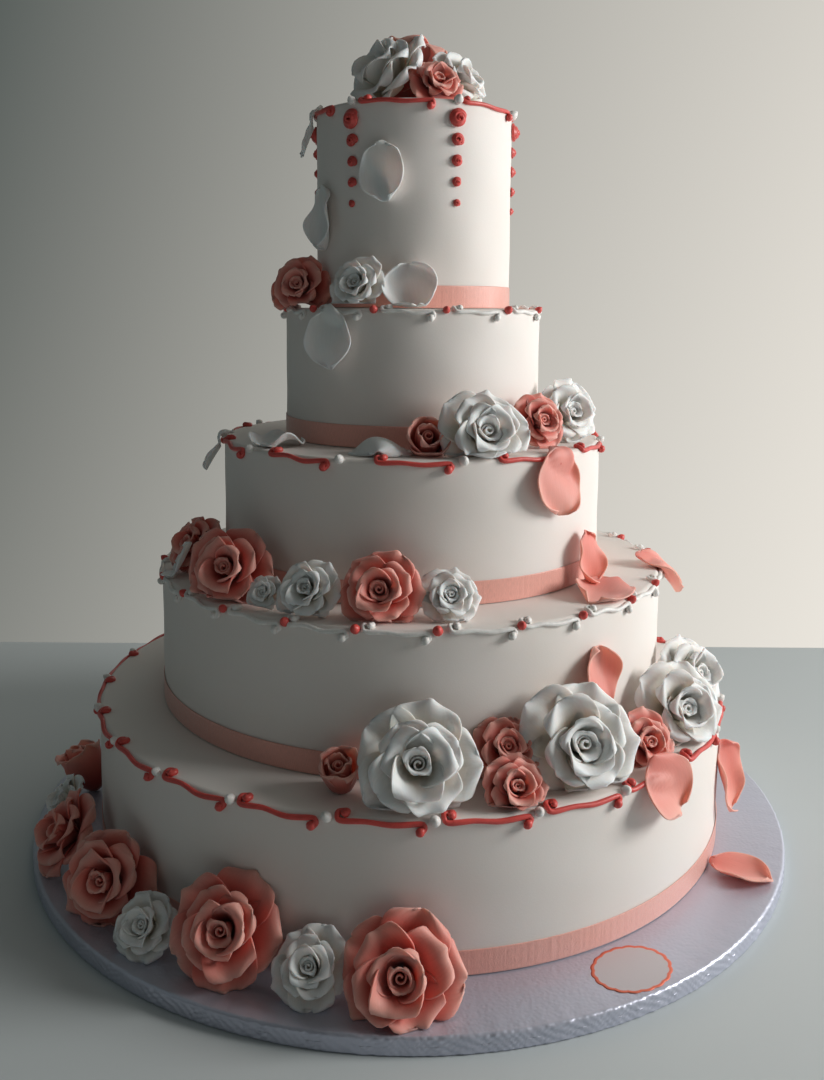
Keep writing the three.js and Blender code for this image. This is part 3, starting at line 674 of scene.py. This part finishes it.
def add_bump(tree, shader, height, strength, distance):
    """Lays a height over the shader's normal, on top of a bump that is already there."""
    bump = new_node(tree, "Bump", {"Strength": strength, "Distance": distance})
    links = shader.inputs["Normal"].links
    if links:
        tree.links.new(links[0].from_socket, bump.inputs["Normal"])
    tree.links.new(height, bump.inputs["Height"])
    tree.links.new(bump.outputs["Normal"], shader.inputs["Normal"])


def ramp(tree, factor, stops):
    """A colour ramp through (place, colour) stops."""
    node = new_node(tree, "ValToRGB")
    elements = node.color_ramp.elements
    while len(elements) < len(stops):
        elements.new(0.5)
    for element, (place, colour) in zip(elements, stops):
        element.position = place
        element.color = (*colour[:3], 1)
    tree.links.new(factor, node.inputs["Fac"])
    return node.outputs["Color"]


def mottle(tree, shader, factor, colour, share, low=0.3, high=0.7):
    """Lets the shader's colour wander with a noise, from a darker share of it to the whole."""
    stops = ((low, np.array(colour) * share), (high, colour))
    tree.links.new(ramp(tree, factor, stops), shader.inputs["Base Color"])


def make_soft(shader, weight, scale):
    """Light that sinks a little into sugar, further for red than for blue."""
    set_inputs(shader, {"Subsurface Weight": weight, "Subsurface Scale": scale,
                        "Subsurface Radius": (1.0, 0.6, 0.5)})


def fondant_material(settings):
    """Matt rolled fondant: faint clouds of tone, a powdery grain and slow dents of the smoothing hand."""
    material, tree, shader = new_material("rolled_fondant", settings.fondant, 0.62)
    mottle(tree, shader, noise_on(tree, 9.0, 2.0), settings.fondant, (0.965, 0.95, 0.93))
    add_bump(tree, shader, noise_on(tree, 24.0, 2.0), 0.25, 0.6 * MM)
    add_bump(tree, shader, noise_on(tree, 900.0, 4.0), 0.22, 0.25 * MM)
    make_soft(shader, 0.12, 4 * MM)
    return material


def icing_material(name, colour, roughness):
    """Piped icing that has set with a slight sheen, fine sugar grain and uneven tone."""
    material, tree, shader = new_material(name, colour, roughness)
    mottle(tree, shader, noise_on(tree, 160.0), colour, 0.80)
    add_bump(tree, shader, noise_on(tree, 420.0), 0.35, 0.5 * MM)
    make_soft(shader, 0.10, 2 * MM)
    return material


def sugar_material(name, deep, body, lip):
    """Sugar paste petals: a painted shade deep in the heart and a painted light along the thin lip, with
    streaks that run from the foot to the lip, as the modelling tool leaves them, and a powdery grain."""
    material, tree, shader = new_material(name, body, 0.55, {"Sheen Weight": 0.2})
    place = new_node(tree, "Attribute")
    place.attribute_name = "lip"
    # Painted shade deep in the heart, the petal's own body colour, then painted light along the lip.
    tone = ramp(tree, place.outputs["Fac"], ((0.0, deep), (0.42, body), (0.95, lip)))
    streaks = noise_on(tree, 3.0, 4.0, "UV", (11.0, 1.2, 1.0))
    shade = ramp(tree, streaks, ((0.3, (0.86, 0.84, 0.84)), (0.7, (1.0, 1.0, 1.0))))
    # A mix node's colours are its inputs 6 and 7 and its output 2.
    streaked = new_node(tree, "Mix")
    streaked.data_type = "RGBA"
    streaked.blend_type = "MULTIPLY"
    streaked.inputs["Factor"].default_value = 0.35
    tree.links.new(tone, streaked.inputs[6])
    tree.links.new(shade, streaked.inputs[7])
    tree.links.new(streaked.outputs[2], shader.inputs["Base Color"])
    add_bump(tree, shader, streaks, 0.12, 0.5 * MM)
    add_bump(tree, shader, noise_on(tree, 700.0), 0.25, 0.25 * MM)
    make_soft(shader, 0.45, 6 * MM)
    return material


def satin_material(settings):
    """Satin ribbon: close weft ribs across the band, a soft long sheen and slow changes of tone."""
    material, tree, shader = new_material("satin_ribbon", settings.ribbon, 0.3,
                                          {"Sheen Weight": 0.5, "Anisotropic": 0.55})
    coords = new_node(tree, "TexCoord")
    ribs = new_node(tree, "TexWave", {"Scale": 190.0, "Distortion": 0.6})
    ribs.bands_direction = "X"
    tree.links.new(coords.outputs["UV"], ribs.inputs["Vector"])
    tones = noise_on(tree, 60.0, 3.0, "UV", (1.0, 0.08, 1.0))
    mottle(tree, shader, tones, settings.ribbon, 0.86, 0.35, 0.65)
    add_bump(tree, shader, ribs.outputs["Fac"], 0.25, 0.12 * MM)
    add_bump(tree, shader, noise_on(tree, 5.0, 1.0, "UV", (1.0, 0.04, 1.0)), 0.22, 1.2 * MM)
    return material


def foil_material(settings):
    """Silver foil on card: small pressed cells, and a roughness that wanders with handling."""
    material, tree, shader = new_material("silver_foil", settings.foil, 0.33, {"Metallic": 0.5})
    coords = new_node(tree, "TexCoord")
    cells = new_node(tree, "TexVoronoi", {"Scale": 420.0})
    cells.feature = "SMOOTH_F1"
    tree.links.new(coords.outputs["Object"], cells.inputs["Vector"])
    wear = ramp(tree, noise_on(tree, 14.0, 4.0), ((0.3, (0.34,) * 3), (0.75, (0.5,) * 3)))
    tree.links.new(wear, shader.inputs["Roughness"])
    mottle(tree, shader, noise_on(tree, 5.0, 2.0), settings.foil, 0.9, 0.35, 0.7)
    add_bump(tree, shader, cells.outputs["Distance"], 0.55, 0.4 * MM)
    add_bump(tree, shader, noise_on(tree, 30.0), 0.15, 0.8 * MM)
    return material


def label_material(settings):
    """A bare printed oval: a pale ground inside a scalloped coral line."""
    material, tree, shader = new_material("printed_oval", settings.label, 0.45, {"Metallic": 0.3})
    place = new_node(tree, "Attribute")
    place.attribute_name = "ring"
    line, bare = settings.label_line, settings.label
    stops = ((0.0, bare), (0.90, bare), (0.92, line), (1.0, line))
    tree.links.new(ramp(tree, place.outputs["Fac"], stops), shader.inputs["Base Color"])
    add_bump(tree, shader, noise_on(tree, 500.0, 2.0), 0.1, 0.1 * MM)
    return material


def colour_property(name, description, red, green, blue):
    """A colour that a user can change, its default given as a screen colour."""
    return bpy.props.FloatVectorProperty(
        name=name, description=description, subtype="COLOR", default=linear(red, green, blue), min=0, max=1)


def size_property(name, description, default, low, high):
    """A length that a user can change, given in mm."""
    return bpy.props.FloatProperty(name=name, description=description, default=default * MM,
                                   min=low * MM, max=high * MM, unit="LENGTH")


def number_property(name, description, default, unit="NONE"):
    """A plain number that a user can change."""
    return bpy.props.FloatProperty(name=name, description=description, default=default, unit=unit)


class CakeSettings(bpy.types.PropertyGroup):
    """Sizes and colours of the cake's cover, ribbons, icing and drum."""

    edge_round: size_property(
        "Rim rounding", "Radius of the fondant's round over each tier's rim", 3.6, 1, 12)
    fondant: colour_property("Fondant", "Colour of the rolled fondant", 239, 234, 230)
    ribbon: colour_property("Ribbon", "Colour of the satin ribbons", 252, 184, 170)
    ribbon_height: size_property(
        "Ribbon width", "Width of each ribbon from the foot of its tier", 17, 3, 40)
    red_icing: colour_property("Red icing", "Colour of the red piping", 226, 88, 82)
    white_icing: colour_property("White icing", "Colour of the white piping", 250, 249, 246)
    foil: colour_property("Foil", "Colour of the drum's silver foil", 202, 206, 222)
    label: colour_property("Oval", "Ground colour of the bare oval printed on the drum", 205, 201, 205)
    label_line: colour_property("Oval border", "Colour of the oval's border", 232, 122, 96)
    label_width: size_property("Oval width", "Width of the printed oval", 56, 10, 120)


class FlowerSettings(bpy.types.PropertyGroup):
    """Thickness and colours of the sugar flowers."""

    thickness: size_property("Petal thickness", "Thickness of a petal away from its lip", 1.2, 0.3, 4)
    # The heart colours are painted shade deep inside the roses, and the lip colours painted light along the
    # petals' lips.
    white_heart_shade: colour_property("White heart", "Colour deep inside the white roses", 230, 217, 194)
    white_body: colour_property("White petal", "Colour of the white petals", 247, 243, 237)
    white_lip_light: colour_property("White lip", "Colour of the white petals' lips", 252, 252, 253)
    coral_heart_shade: colour_property("Coral heart", "Colour deep inside the coral roses", 158, 50, 42)
    coral_body: colour_property("Coral petal", "Colour of the coral petals", 234, 127, 116)
    coral_lip_light: colour_property("Coral lip", "Colour of the coral petals' lips", 249, 176, 163)


class StageSettings(bpy.types.PropertyGroup):
    """The floor, the lights and the camera."""

    floor: colour_property("Floor", "Colour of the plain floor", 203, 211, 213)
    shade_side: colour_property("Left light", "Colour of the surroundings on the left", 88, 94, 91)
    bright_side: colour_property("Right light", "Colour of the surroundings on the right", 236, 231, 222)
    key_power: number_property("Key light", "Power of the soft light at the right", 29.0, "POWER")
    camera_height: number_property(
        "Camera height", "Height of the camera over the floor", 0.4233, "LENGTH")
    camera_back: number_property(
        "Camera distance", "Distance of the camera in front of the cake's axis", 0.8405, "LENGTH")
    lens: number_property("Lens", "Focal length in mm on a sensor 36 mm long", 34.11)
    key_azimuth: number_property(
        "Key azimuth", "Where the large light hangs, from the front towards +X, in degrees", 81.0)
    key_height: number_property(
        "Key height", "How far over the horizon the large light hangs, in degrees", 18.0)
    fill: number_property("Fill", "The fill light's power as a share of the large light's", 0.05)
    front: number_property(
        "Front", "How bright the surroundings are in front of the cake, as a share", 0.22)


class CAKE_OT_drum(bpy.types.Operator):
    """Cover the cake drum with crinkled silver foil and lay the bare oval on it"""

    bl_idname = "cake.drum"
    bl_label = "Foil drum"

    def execute(self, context):
        """Drum: a turned board with a pleated side. Its radius grows by 0.22 mm times a sum of three
        sines of the azimuth, which fades inwards from the rim, and its top dips at the rim, by up to
        0.5 mm. Oval: a disc whose border waves."""
        settings = context.scene.cake
        radius, height = rounded_profile(DRUM_RADIUS - 0.6 * MM, 0, DRUM_TOP, edge=2.2 * MM,
                                         foot_edge=1.2 * MM, steps=9)

        def pleats(azimuth, row):
            a = np.radians(azimuth)
            wave = (0.6 * np.sin(97 * a + 3 * np.sin(13 * a))
                    + 0.8 * np.sin(281 * a + 4 * np.sin(31 * a) + 0.4 * row)
                    + 0.9 * np.sin(467 * a + 5 * np.sin(53 * a) - 0.6 * row))
            near_rim = np.clip((radius[row] - (DRUM_RADIUS - 6 * MM)) / (6 * MM), 0, 1) ** 2
            return 0.22 * MM * wave * near_rim

        points, quads, tris = lathe(radius, height, around=1440, shift=pleats)
        ripple = np.clip(np.hypot(points[:, 0], points[:, 1]) / DRUM_RADIUS - 0.97, 0, 1) / 0.03
        azimuth = np.arctan2(points[:, 0], -points[:, 1])
        wave = np.sin(97 * azimuth) * np.sin(37 * azimuth + 2)
        points[:, 2] += np.where(points[:, 2] > DRUM_TOP / 2, -0.25 * MM * ripple * (1 + wave), 0)
        add_piece("foil_drum", points, quads, foil_material(settings), ["cake_drum"],
                  tris)
        self.lay_oval(settings)
        return {"FINISHED"}

    def lay_oval(self, settings):
        """The oval's point at radius share s and angle a is its middle + s (1 - 0.035 (1 - |cos 9a|))
        times the half width along the rim and 0.78 of it across."""
        around, rings, azimuth, distance, thick = 144, 22, 30.1, 279.5 * MM, 0.15 * MM
        share = np.array([0, 1, *np.linspace(1, 0, rings)])
        height = DRUM_TOP + np.array([0.02 * MM, 0.02 * MM, *np.full(rings, thick)])
        points, quads, tris = lathe(share, height, around)
        a = np.arctan2(points[:, 1], points[:, 0])
        wave = 1 + 0.035 * np.abs(np.cos(9 * a)) - 0.035
        reach = (wave * settings.label_width / 2)[:, None]
        rim = outward(np.float64(azimuth))
        tangent = np.array([-rim[1], rim[0], 0.0])
        ring = np.hypot(points[:, 0], points[:, 1])
        placed = rim * distance + reach * (tangent * points[:, :1] + 0.78 * rim * points[:, 1:2])
        placed[:, 2] = points[:, 2]
        add_piece("printed_oval", placed, quads, label_material(settings), (), tris,
                  values={"ring": ring})


class CAKE_OT_tiers(bpy.types.Operator):
    """Cover each tier with smooth fondant, its rim softly rounded"""

    bl_idname = "cake.tiers"
    bl_label = "Fondant tiers"

    def execute(self, context):
        """Each tier is a turned body; its wall wanders by up to 0.3 mm, as sines of the azimuth and row."""
        settings = context.scene.cake
        material = fondant_material(settings)
        for k, (name, wall, foot, top) in enumerate(zip(TIERS, WALLS, FEET, TOPS)):
            radius, height = rounded_profile(wall, foot, top, settings.edge_round,
                                             foot_edge=1.5 * MM, steps=14)

            def wander(azimuth, row, k=k):
                a = np.radians(azimuth)
                return 0.12 * MM * (np.sin(3 * a + k) + np.sin(7 * a + 0.31 * row + 2 * k)
                                    + 0.5 * np.sin(13 * a - 0.22 * row))

            points, quads, tris = lathe(radius, height, around=256, shift=wander)
            add_piece("fondant_" + name, points, quads, material, [name], tris)
        return {"FINISHED"}


class CAKE_OT_ribbons(bpy.types.Operator):
    """Lay a satin ribbon round the foot of each tier, its ends lapped at the back"""

    bl_idname = "cake.ribbons"
    bl_label = "Satin ribbons"

    def execute(self, context):
        """A band against the wall: its last 14 mm lie over its own start, and with the turn t it
        wanders by up to 0.24 mm in height, as 1 + sin 5t, and by 0.06 mm in radius, as sin 11t."""
        settings = context.scene.cake
        material = satin_material(settings)
        thick, half = RIBBON_THICK, settings.ribbon_height / 2
        for k, (name, wall, foot) in enumerate(zip(RIBBONS, WALLS, FEET)):
            lap = 14 * MM / wall
            turn = np.linspace(np.pi, 3 * np.pi + lap, 520)[None, :]
            u = edged(13)[:, None]
            over = np.clip((turn - 3 * np.pi + 0.06) / 0.06, 0, 1)
            rho = wall + RIBBON_GAP + thick / 2 + over * (thick + 0.05 * MM)
            rho = rho + 0.06 * MM * np.sin(11 * turn + k)
            z = foot + RIBBON_GAP + half + half * 0.985 * u + 0.12 * MM * (1 + np.sin(5 * turn + k))
            sheet = stacked(rho * np.sin(turn), -rho * np.cos(turn), z)
            points, quads, inner = leaves(sheet.transpose(1, 0, 2)[None], thick, edge=0.02)
            length = wall * (turn - np.pi) / settings.ribbon_height
            uv = stacked(length.T, 0.5 + 0.5 * u.T)[None]
            add_piece("satin_" + name, points, quads, material, [name],
                      uv=both_sides(uv, inner))
        return {"FINISHED"}


class CAKE_OT_piping(bpy.types.Operator):
    """Pipe scrolls and pearls round each rim, red and white by turns"""

    bl_idname = "cake.piping"
    bl_label = "Rim piping"

    def scroll_knots(self, length, vary):
        """A scroll's line in mm along and across the rim: a closed curl in over the top, a shallow S
        along the rim, and a hook that ends in a blob down the side."""
        return [(2.8, 1.6), (4.4, 2.0), (4.6, 4.0), (2.4, 5.4), (-0.5, 3.9), (-0.9, 0.9), (1.6, -1.4),
                (length * 0.32, -1.2 + vary), (length * 0.62, -2.2 - vary), (length - 3.4, -1.6),
                (length - 0.6, -2.4), (length - 0.2, -4.6), (length - 2.0, -5.9), (length - 3.4, -4.7)]

    def execute(self, context):
        """Each scroll is a tube whose radius swells as 0.82 + 0.35 in its curl + 0.75 in its hook, two
        bells of the share of its length, with a small wave; each pearl stands in the space after it."""
        settings = context.scene.cake
        inks = {"red": icing_material("red_icing", settings.red_icing, 0.38),
                "white": icing_material("white_icing", settings.white_icing, 0.42)}
        samples = 64
        share = np.linspace(0, 1, samples)
        swell = 0.82 + 0.35 * np.exp(-((share - 0.05) / 0.14) ** 2)
        swell = swell + 0.75 * np.exp(-((share - 0.97) / 0.06) ** 2)
        swell = swell * np.sqrt(np.clip(np.minimum(share / 0.015, (1 - share) / 0.02), 0.12, 1))
        for k, rim in enumerate(RIMS):
            per_degree = WALLS[k] * np.pi / 180
            # The cake's diameter in mm under the fondant, as measured in the frame, seeds the starts.
            diameter = 2 * (WALLS[k] / MM - FONDANT)
            scrolls, dots = [], []
            for n in range(rim["scrolls"]):
                start = rim["first"] + n * 360 / rim["scrolls"] + 1.3 * (chance(n, diameter) - 0.5)
                length = rim["reach"] * per_degree / MM * (0.97 + 0.06 * chance(n, 3.0))
                trail = smooth(self.scroll_knots(length, 0.7 * chance(n, 5.0)), samples) * MM
                radius = rim["line"] * MM * swell * (1 + 0.06 * np.sin(40 * share + 9 * chance(n, 7.0)))
                path, up = on_rim(k, start + trail[:, 0] / per_degree, trail[:, 1], radius * 0.62)
                scrolls.append(tubes(path[None], up[None], radius[None], sides=10))
                centre, up = on_rim(k, np.array([start + rim["pearl"]]), np.array([-0.5 * MM]),
                                    rim["pearl_r"] * 0.5 * MM)
                dots.append((centre[0], up[0], rim["pearl_r"] * MM * (0.9 + 0.2 * chance(n, 9.0))))
            balls = pearls(*(np.array(each) for each in zip(*dots)))
            for kind, ink, made in (("scrolls_", rim["ink"], join(scrolls)), ("pearls_", rim["dot"], balls)):
                add_piece(kind + TIERS[k], made[0], made[1], inks[ink], [TIERS[k]], made[2])
        self.rosettes(inks["red"])
        return {"FINISHED"}

    def rosettes(self, material):
        """The top tier's columns: each rosette is a ridged tube wound inwards and outwards off the wall
        in a low cone, distance from its middle 0.62 R (1 - t)^0.9 and height R (0.14 + 0.34 t)."""
        wound = []
        t = np.linspace(0, 1, 46)
        wall, top = WALLS[-1], TOPS[-1]
        for c in range(ROSETTES["columns"]):
            azimuth = ROSETTES["first"] + c * 360 / ROSETTES["columns"]
            for k, size in enumerate(ROSETTES["radii"]):
                radius = size * MM * (0.94 + 0.12 * chance(c * 7 + k, 4.0))
                turn = 2 * np.pi * (1.9 * t + chance(c * 5 + k, 6.0))
                away = radius * 0.62 * (1 - t) ** 0.9
                z = top - (ROSETTES["start"] + k * ROSETTES["pitch"]) * MM + away * np.sin(turn)
                a = azimuth + np.degrees(away * np.cos(turn) / wall)
                normal = outward(a)
                path = normal * (wall + radius * (0.14 + 0.34 * t))[:, None]
                path[:, 2] = z
                thick = radius * 0.40 * np.sqrt(np.clip(np.minimum(t / 0.05, (1 - t) / 0.12), 0.06, 1))
                wound.append(tubes(path[None], normal[None], thick[None], sides=14, ridges=4, depth=0.26))
        points, quads, tris = join(wound)
        add_piece("rosettes_top", points, quads, material, [TIERS[-1]], tris)


class CAKE_OT_flowers(bpy.types.Operator):
    """Set the sugar roses, buds and loose petals on the drum and the tiers"""

    bl_idname = "cake.flowers"
    bl_label = "Sugar flowers"

    def execute(self, context):
        """Each flower takes its place and facing from the table, as its solid does."""
        s = context.scene.cake_flowers
        # Each sugar takes a painted shade for its heart, its own petal colour and a painted light for its
        # lips.
        white = sugar_material("white_sugar_paste", s.white_heart_shade, s.white_body, s.white_lip_light)
        coral = sugar_material("coral_sugar_paste", s.coral_heart_shade, s.coral_body, s.coral_lip_light)
        for shelf, items in enumerate(FLOWERS):
            for item in items:
                is_coral = item["name"].endswith("coral")
                add_flower(item, shelf, coral if is_coral else white,
                           s.thickness)
        return {"FINISHED"}


class CAKE_OT_stage(bpy.types.Operator):
    """Lay the floor, hang the soft lights and set the camera"""

    bl_idname = "cake.stage"
    bl_label = "Floor, lights and camera"

    def execute(self, context):
        """The floor is a table top, the surroundings a slow change of tone from left to right, and the
        key a large soft light at the right, a little above the cake."""
        settings = context.scene.cake_stage
        self.lay_floor(settings)
        self.light_surroundings(context.scene, settings)
        self.hang_light("key", settings.key_azimuth, settings.key_height, distance=1.9, size=0.8,
                        power=settings.key_power, colour=(1.0, 0.98, 0.95))
        self.hang_light("fill", azimuth=-70, elevation=25, distance=2.4, size=1.6,
                        power=settings.key_power * settings.fill, colour=(0.80, 0.97, 1.0))
        self.set_camera(context.scene, settings)
        context.scene.view_settings.view_transform = "Standard"
        return {"FINISHED"}

    def lay_floor(self, settings):
        """A table top, its far edge as near behind the cake as it shows in the photograph."""
        left, right, near, far = -1.9, 1.9, -2.4, 0.41
        under, level = -40 * MM, -0.2 * MM
        corners = [(x, y, z) for z in (under, level) for x, y in
                   ((left, near), (right, near), (right, far), (left, far))]
        faces = [(3, 2, 1, 0), (4, 5, 6, 7), (0, 1, 5, 4), (1, 2, 6, 5), (2, 3, 7, 6), (3, 0, 4, 7)]
        material, tree, shader = new_material("plain_floor", settings.floor, 0.6)
        mottle(tree, shader, noise_on(tree, 2.0, 2.0), settings.floor, 0.97)
        mesh = bpy.data.meshes.new("floor")
        mesh.from_pydata(corners, [], faces)
        mesh.materials.append(material)
        floor = bpy.data.objects.new("floor", mesh)
        bpy.context.scene.collection.objects.link(floor)

    def light_surroundings(self, scene, settings):
        """The surroundings' tone runs with s = x - 0.35 z of the direction: dim at the far left, the
        shade side's and the bright side's tone across the wall behind the cake, and white at the far
        right. In front of the cake it falls to the share front."""
        world = bpy.data.worlds.new("surroundings")
        world.use_nodes = True
        tree = world.node_tree
        coords, split = new_node(tree, "TexCoord"), new_node(tree, "SeparateXYZ")
        lean = new_node(tree, "Math")
        lean.operation = "MULTIPLY_ADD"
        lean.inputs[1].default_value = -0.35
        spread = new_node(tree, "MapRange", {"From Min": -1.0, "From Max": 1.0})
        tree.links.new(coords.outputs["Generated"], split.inputs["Vector"])
        tree.links.new(split.outputs["Z"], lean.inputs[0])
        tree.links.new(split.outputs["X"], lean.inputs[2])
        tree.links.new(lean.outputs["Value"], spread.inputs["Value"])
        dim = tuple(share * 0.8 for share in settings.shade_side)
        stops = ((0.17, dim), (0.275, settings.shade_side), (0.75, settings.bright_side), (0.9, (1, 1, 1)))
        tone = ramp(tree, spread.outputs["Result"], stops)
        depth = new_node(tree, "MapRange", {"From Min": -0.3, "From Max": 0.6,
                                            "To Min": settings.front, "To Max": 1.0})
        background = tree.nodes["Background"]
        tree.links.new(split.outputs["Y"], depth.inputs["Value"])
        tree.links.new(tone, background.inputs["Color"])
        tree.links.new(depth.outputs["Result"], background.inputs["Strength"])
        scene.world = world

    def hang_light(self, name, azimuth, elevation, distance, size, power, colour):
        """A round soft light that faces the middle of the cake from a distance."""
        data = bpy.data.lights.new(name, "AREA")
        data.shape = "DISK"
        data.size = size
        data.energy = power
        data.color = colour
        light = bpy.data.objects.new(name, data)
        middle = Vector((0, 0, 0.3))
        e = np.radians(elevation)
        towards = Vector((*(outward(np.float64(azimuth))[:2] * np.cos(e)), np.sin(e)))
        light.location = middle + towards * distance
        light.rotation_euler = towards.to_track_quat("Z", "Y").to_euler()
        bpy.context.scene.collection.objects.link(light)

    def set_camera(self, scene, settings):
        """The camera looks 6.58 degrees down, turned 0.41 degrees on its own axis, and its frame lies
        10.65 % of the photograph's height below its axis."""
        down, roll, below = np.radians(6.58), 0.0072, 0.1065
        data = bpy.data.cameras.new("camera")
        data.lens = settings.lens
        data.sensor_width = 36
        data.shift_y = -below
        camera = bpy.data.objects.new("camera", data)
        turned = Matrix.Rotation(np.pi / 2 - down, 4, "X") @ Matrix.Rotation(roll, 4, "Z")
        place = Vector((0, -settings.camera_back, settings.camera_height))
        camera.matrix_world = Matrix.Translation(place) @ turned
        scene.collection.objects.link(camera)
        scene.camera = camera


class CAKE_PT_panel(bpy.types.Panel):
    """Lists the steps and the settings of the cake"""

    bl_idname = "CAKE_PT_panel"
    bl_label = "Wedding cake"
    bl_space_type = "VIEW_3D"
    bl_region_type = "UI"
    bl_category = "Cake"

    def draw(self, context):
        """A button for each step, and a box for each group of settings."""
        for step in STEPS:
            self.layout.operator(step.bl_idname)
        for group in (context.scene.cake, context.scene.cake_flowers, context.scene.cake_stage):
            box = self.layout.box()
            for name in group.__annotations__:
                box.prop(group, name)


STEPS = (CAKE_OT_drum, CAKE_OT_tiers, CAKE_OT_ribbons, CAKE_OT_piping, CAKE_OT_flowers, CAKE_OT_stage)
CLASSES = (CakeSettings, FlowerSettings, StageSettings, *STEPS, CAKE_PT_panel)


def register():
    """Registers the classes and gives the scene its settings."""
    for each in CLASSES:
        bpy.utils.register_class(each)
    bpy.types.Scene.cake = bpy.props.PointerProperty(type=CakeSettings)
    bpy.types.Scene.cake_flowers = bpy.props.PointerProperty(type=FlowerSettings)
    bpy.types.Scene.cake_stage = bpy.props.PointerProperty(type=StageSettings)


def unregister():
    """Takes the settings off the scene and the classes out of Blender."""
    for name in ("cake", "cake_flowers", "cake_stage"):
        delattr(bpy.types.Scene, name)
    for each in reversed(CLASSES):
        bpy.utils.unregister_class(each)


def main():
    """Makes every piece in turn."""
    register()
    for step in STEPS:
        group, name = step.bl_idname.split(".")
        getattr(getattr(bpy.ops, group), name)()


if __name__ == "__main__":
    main()
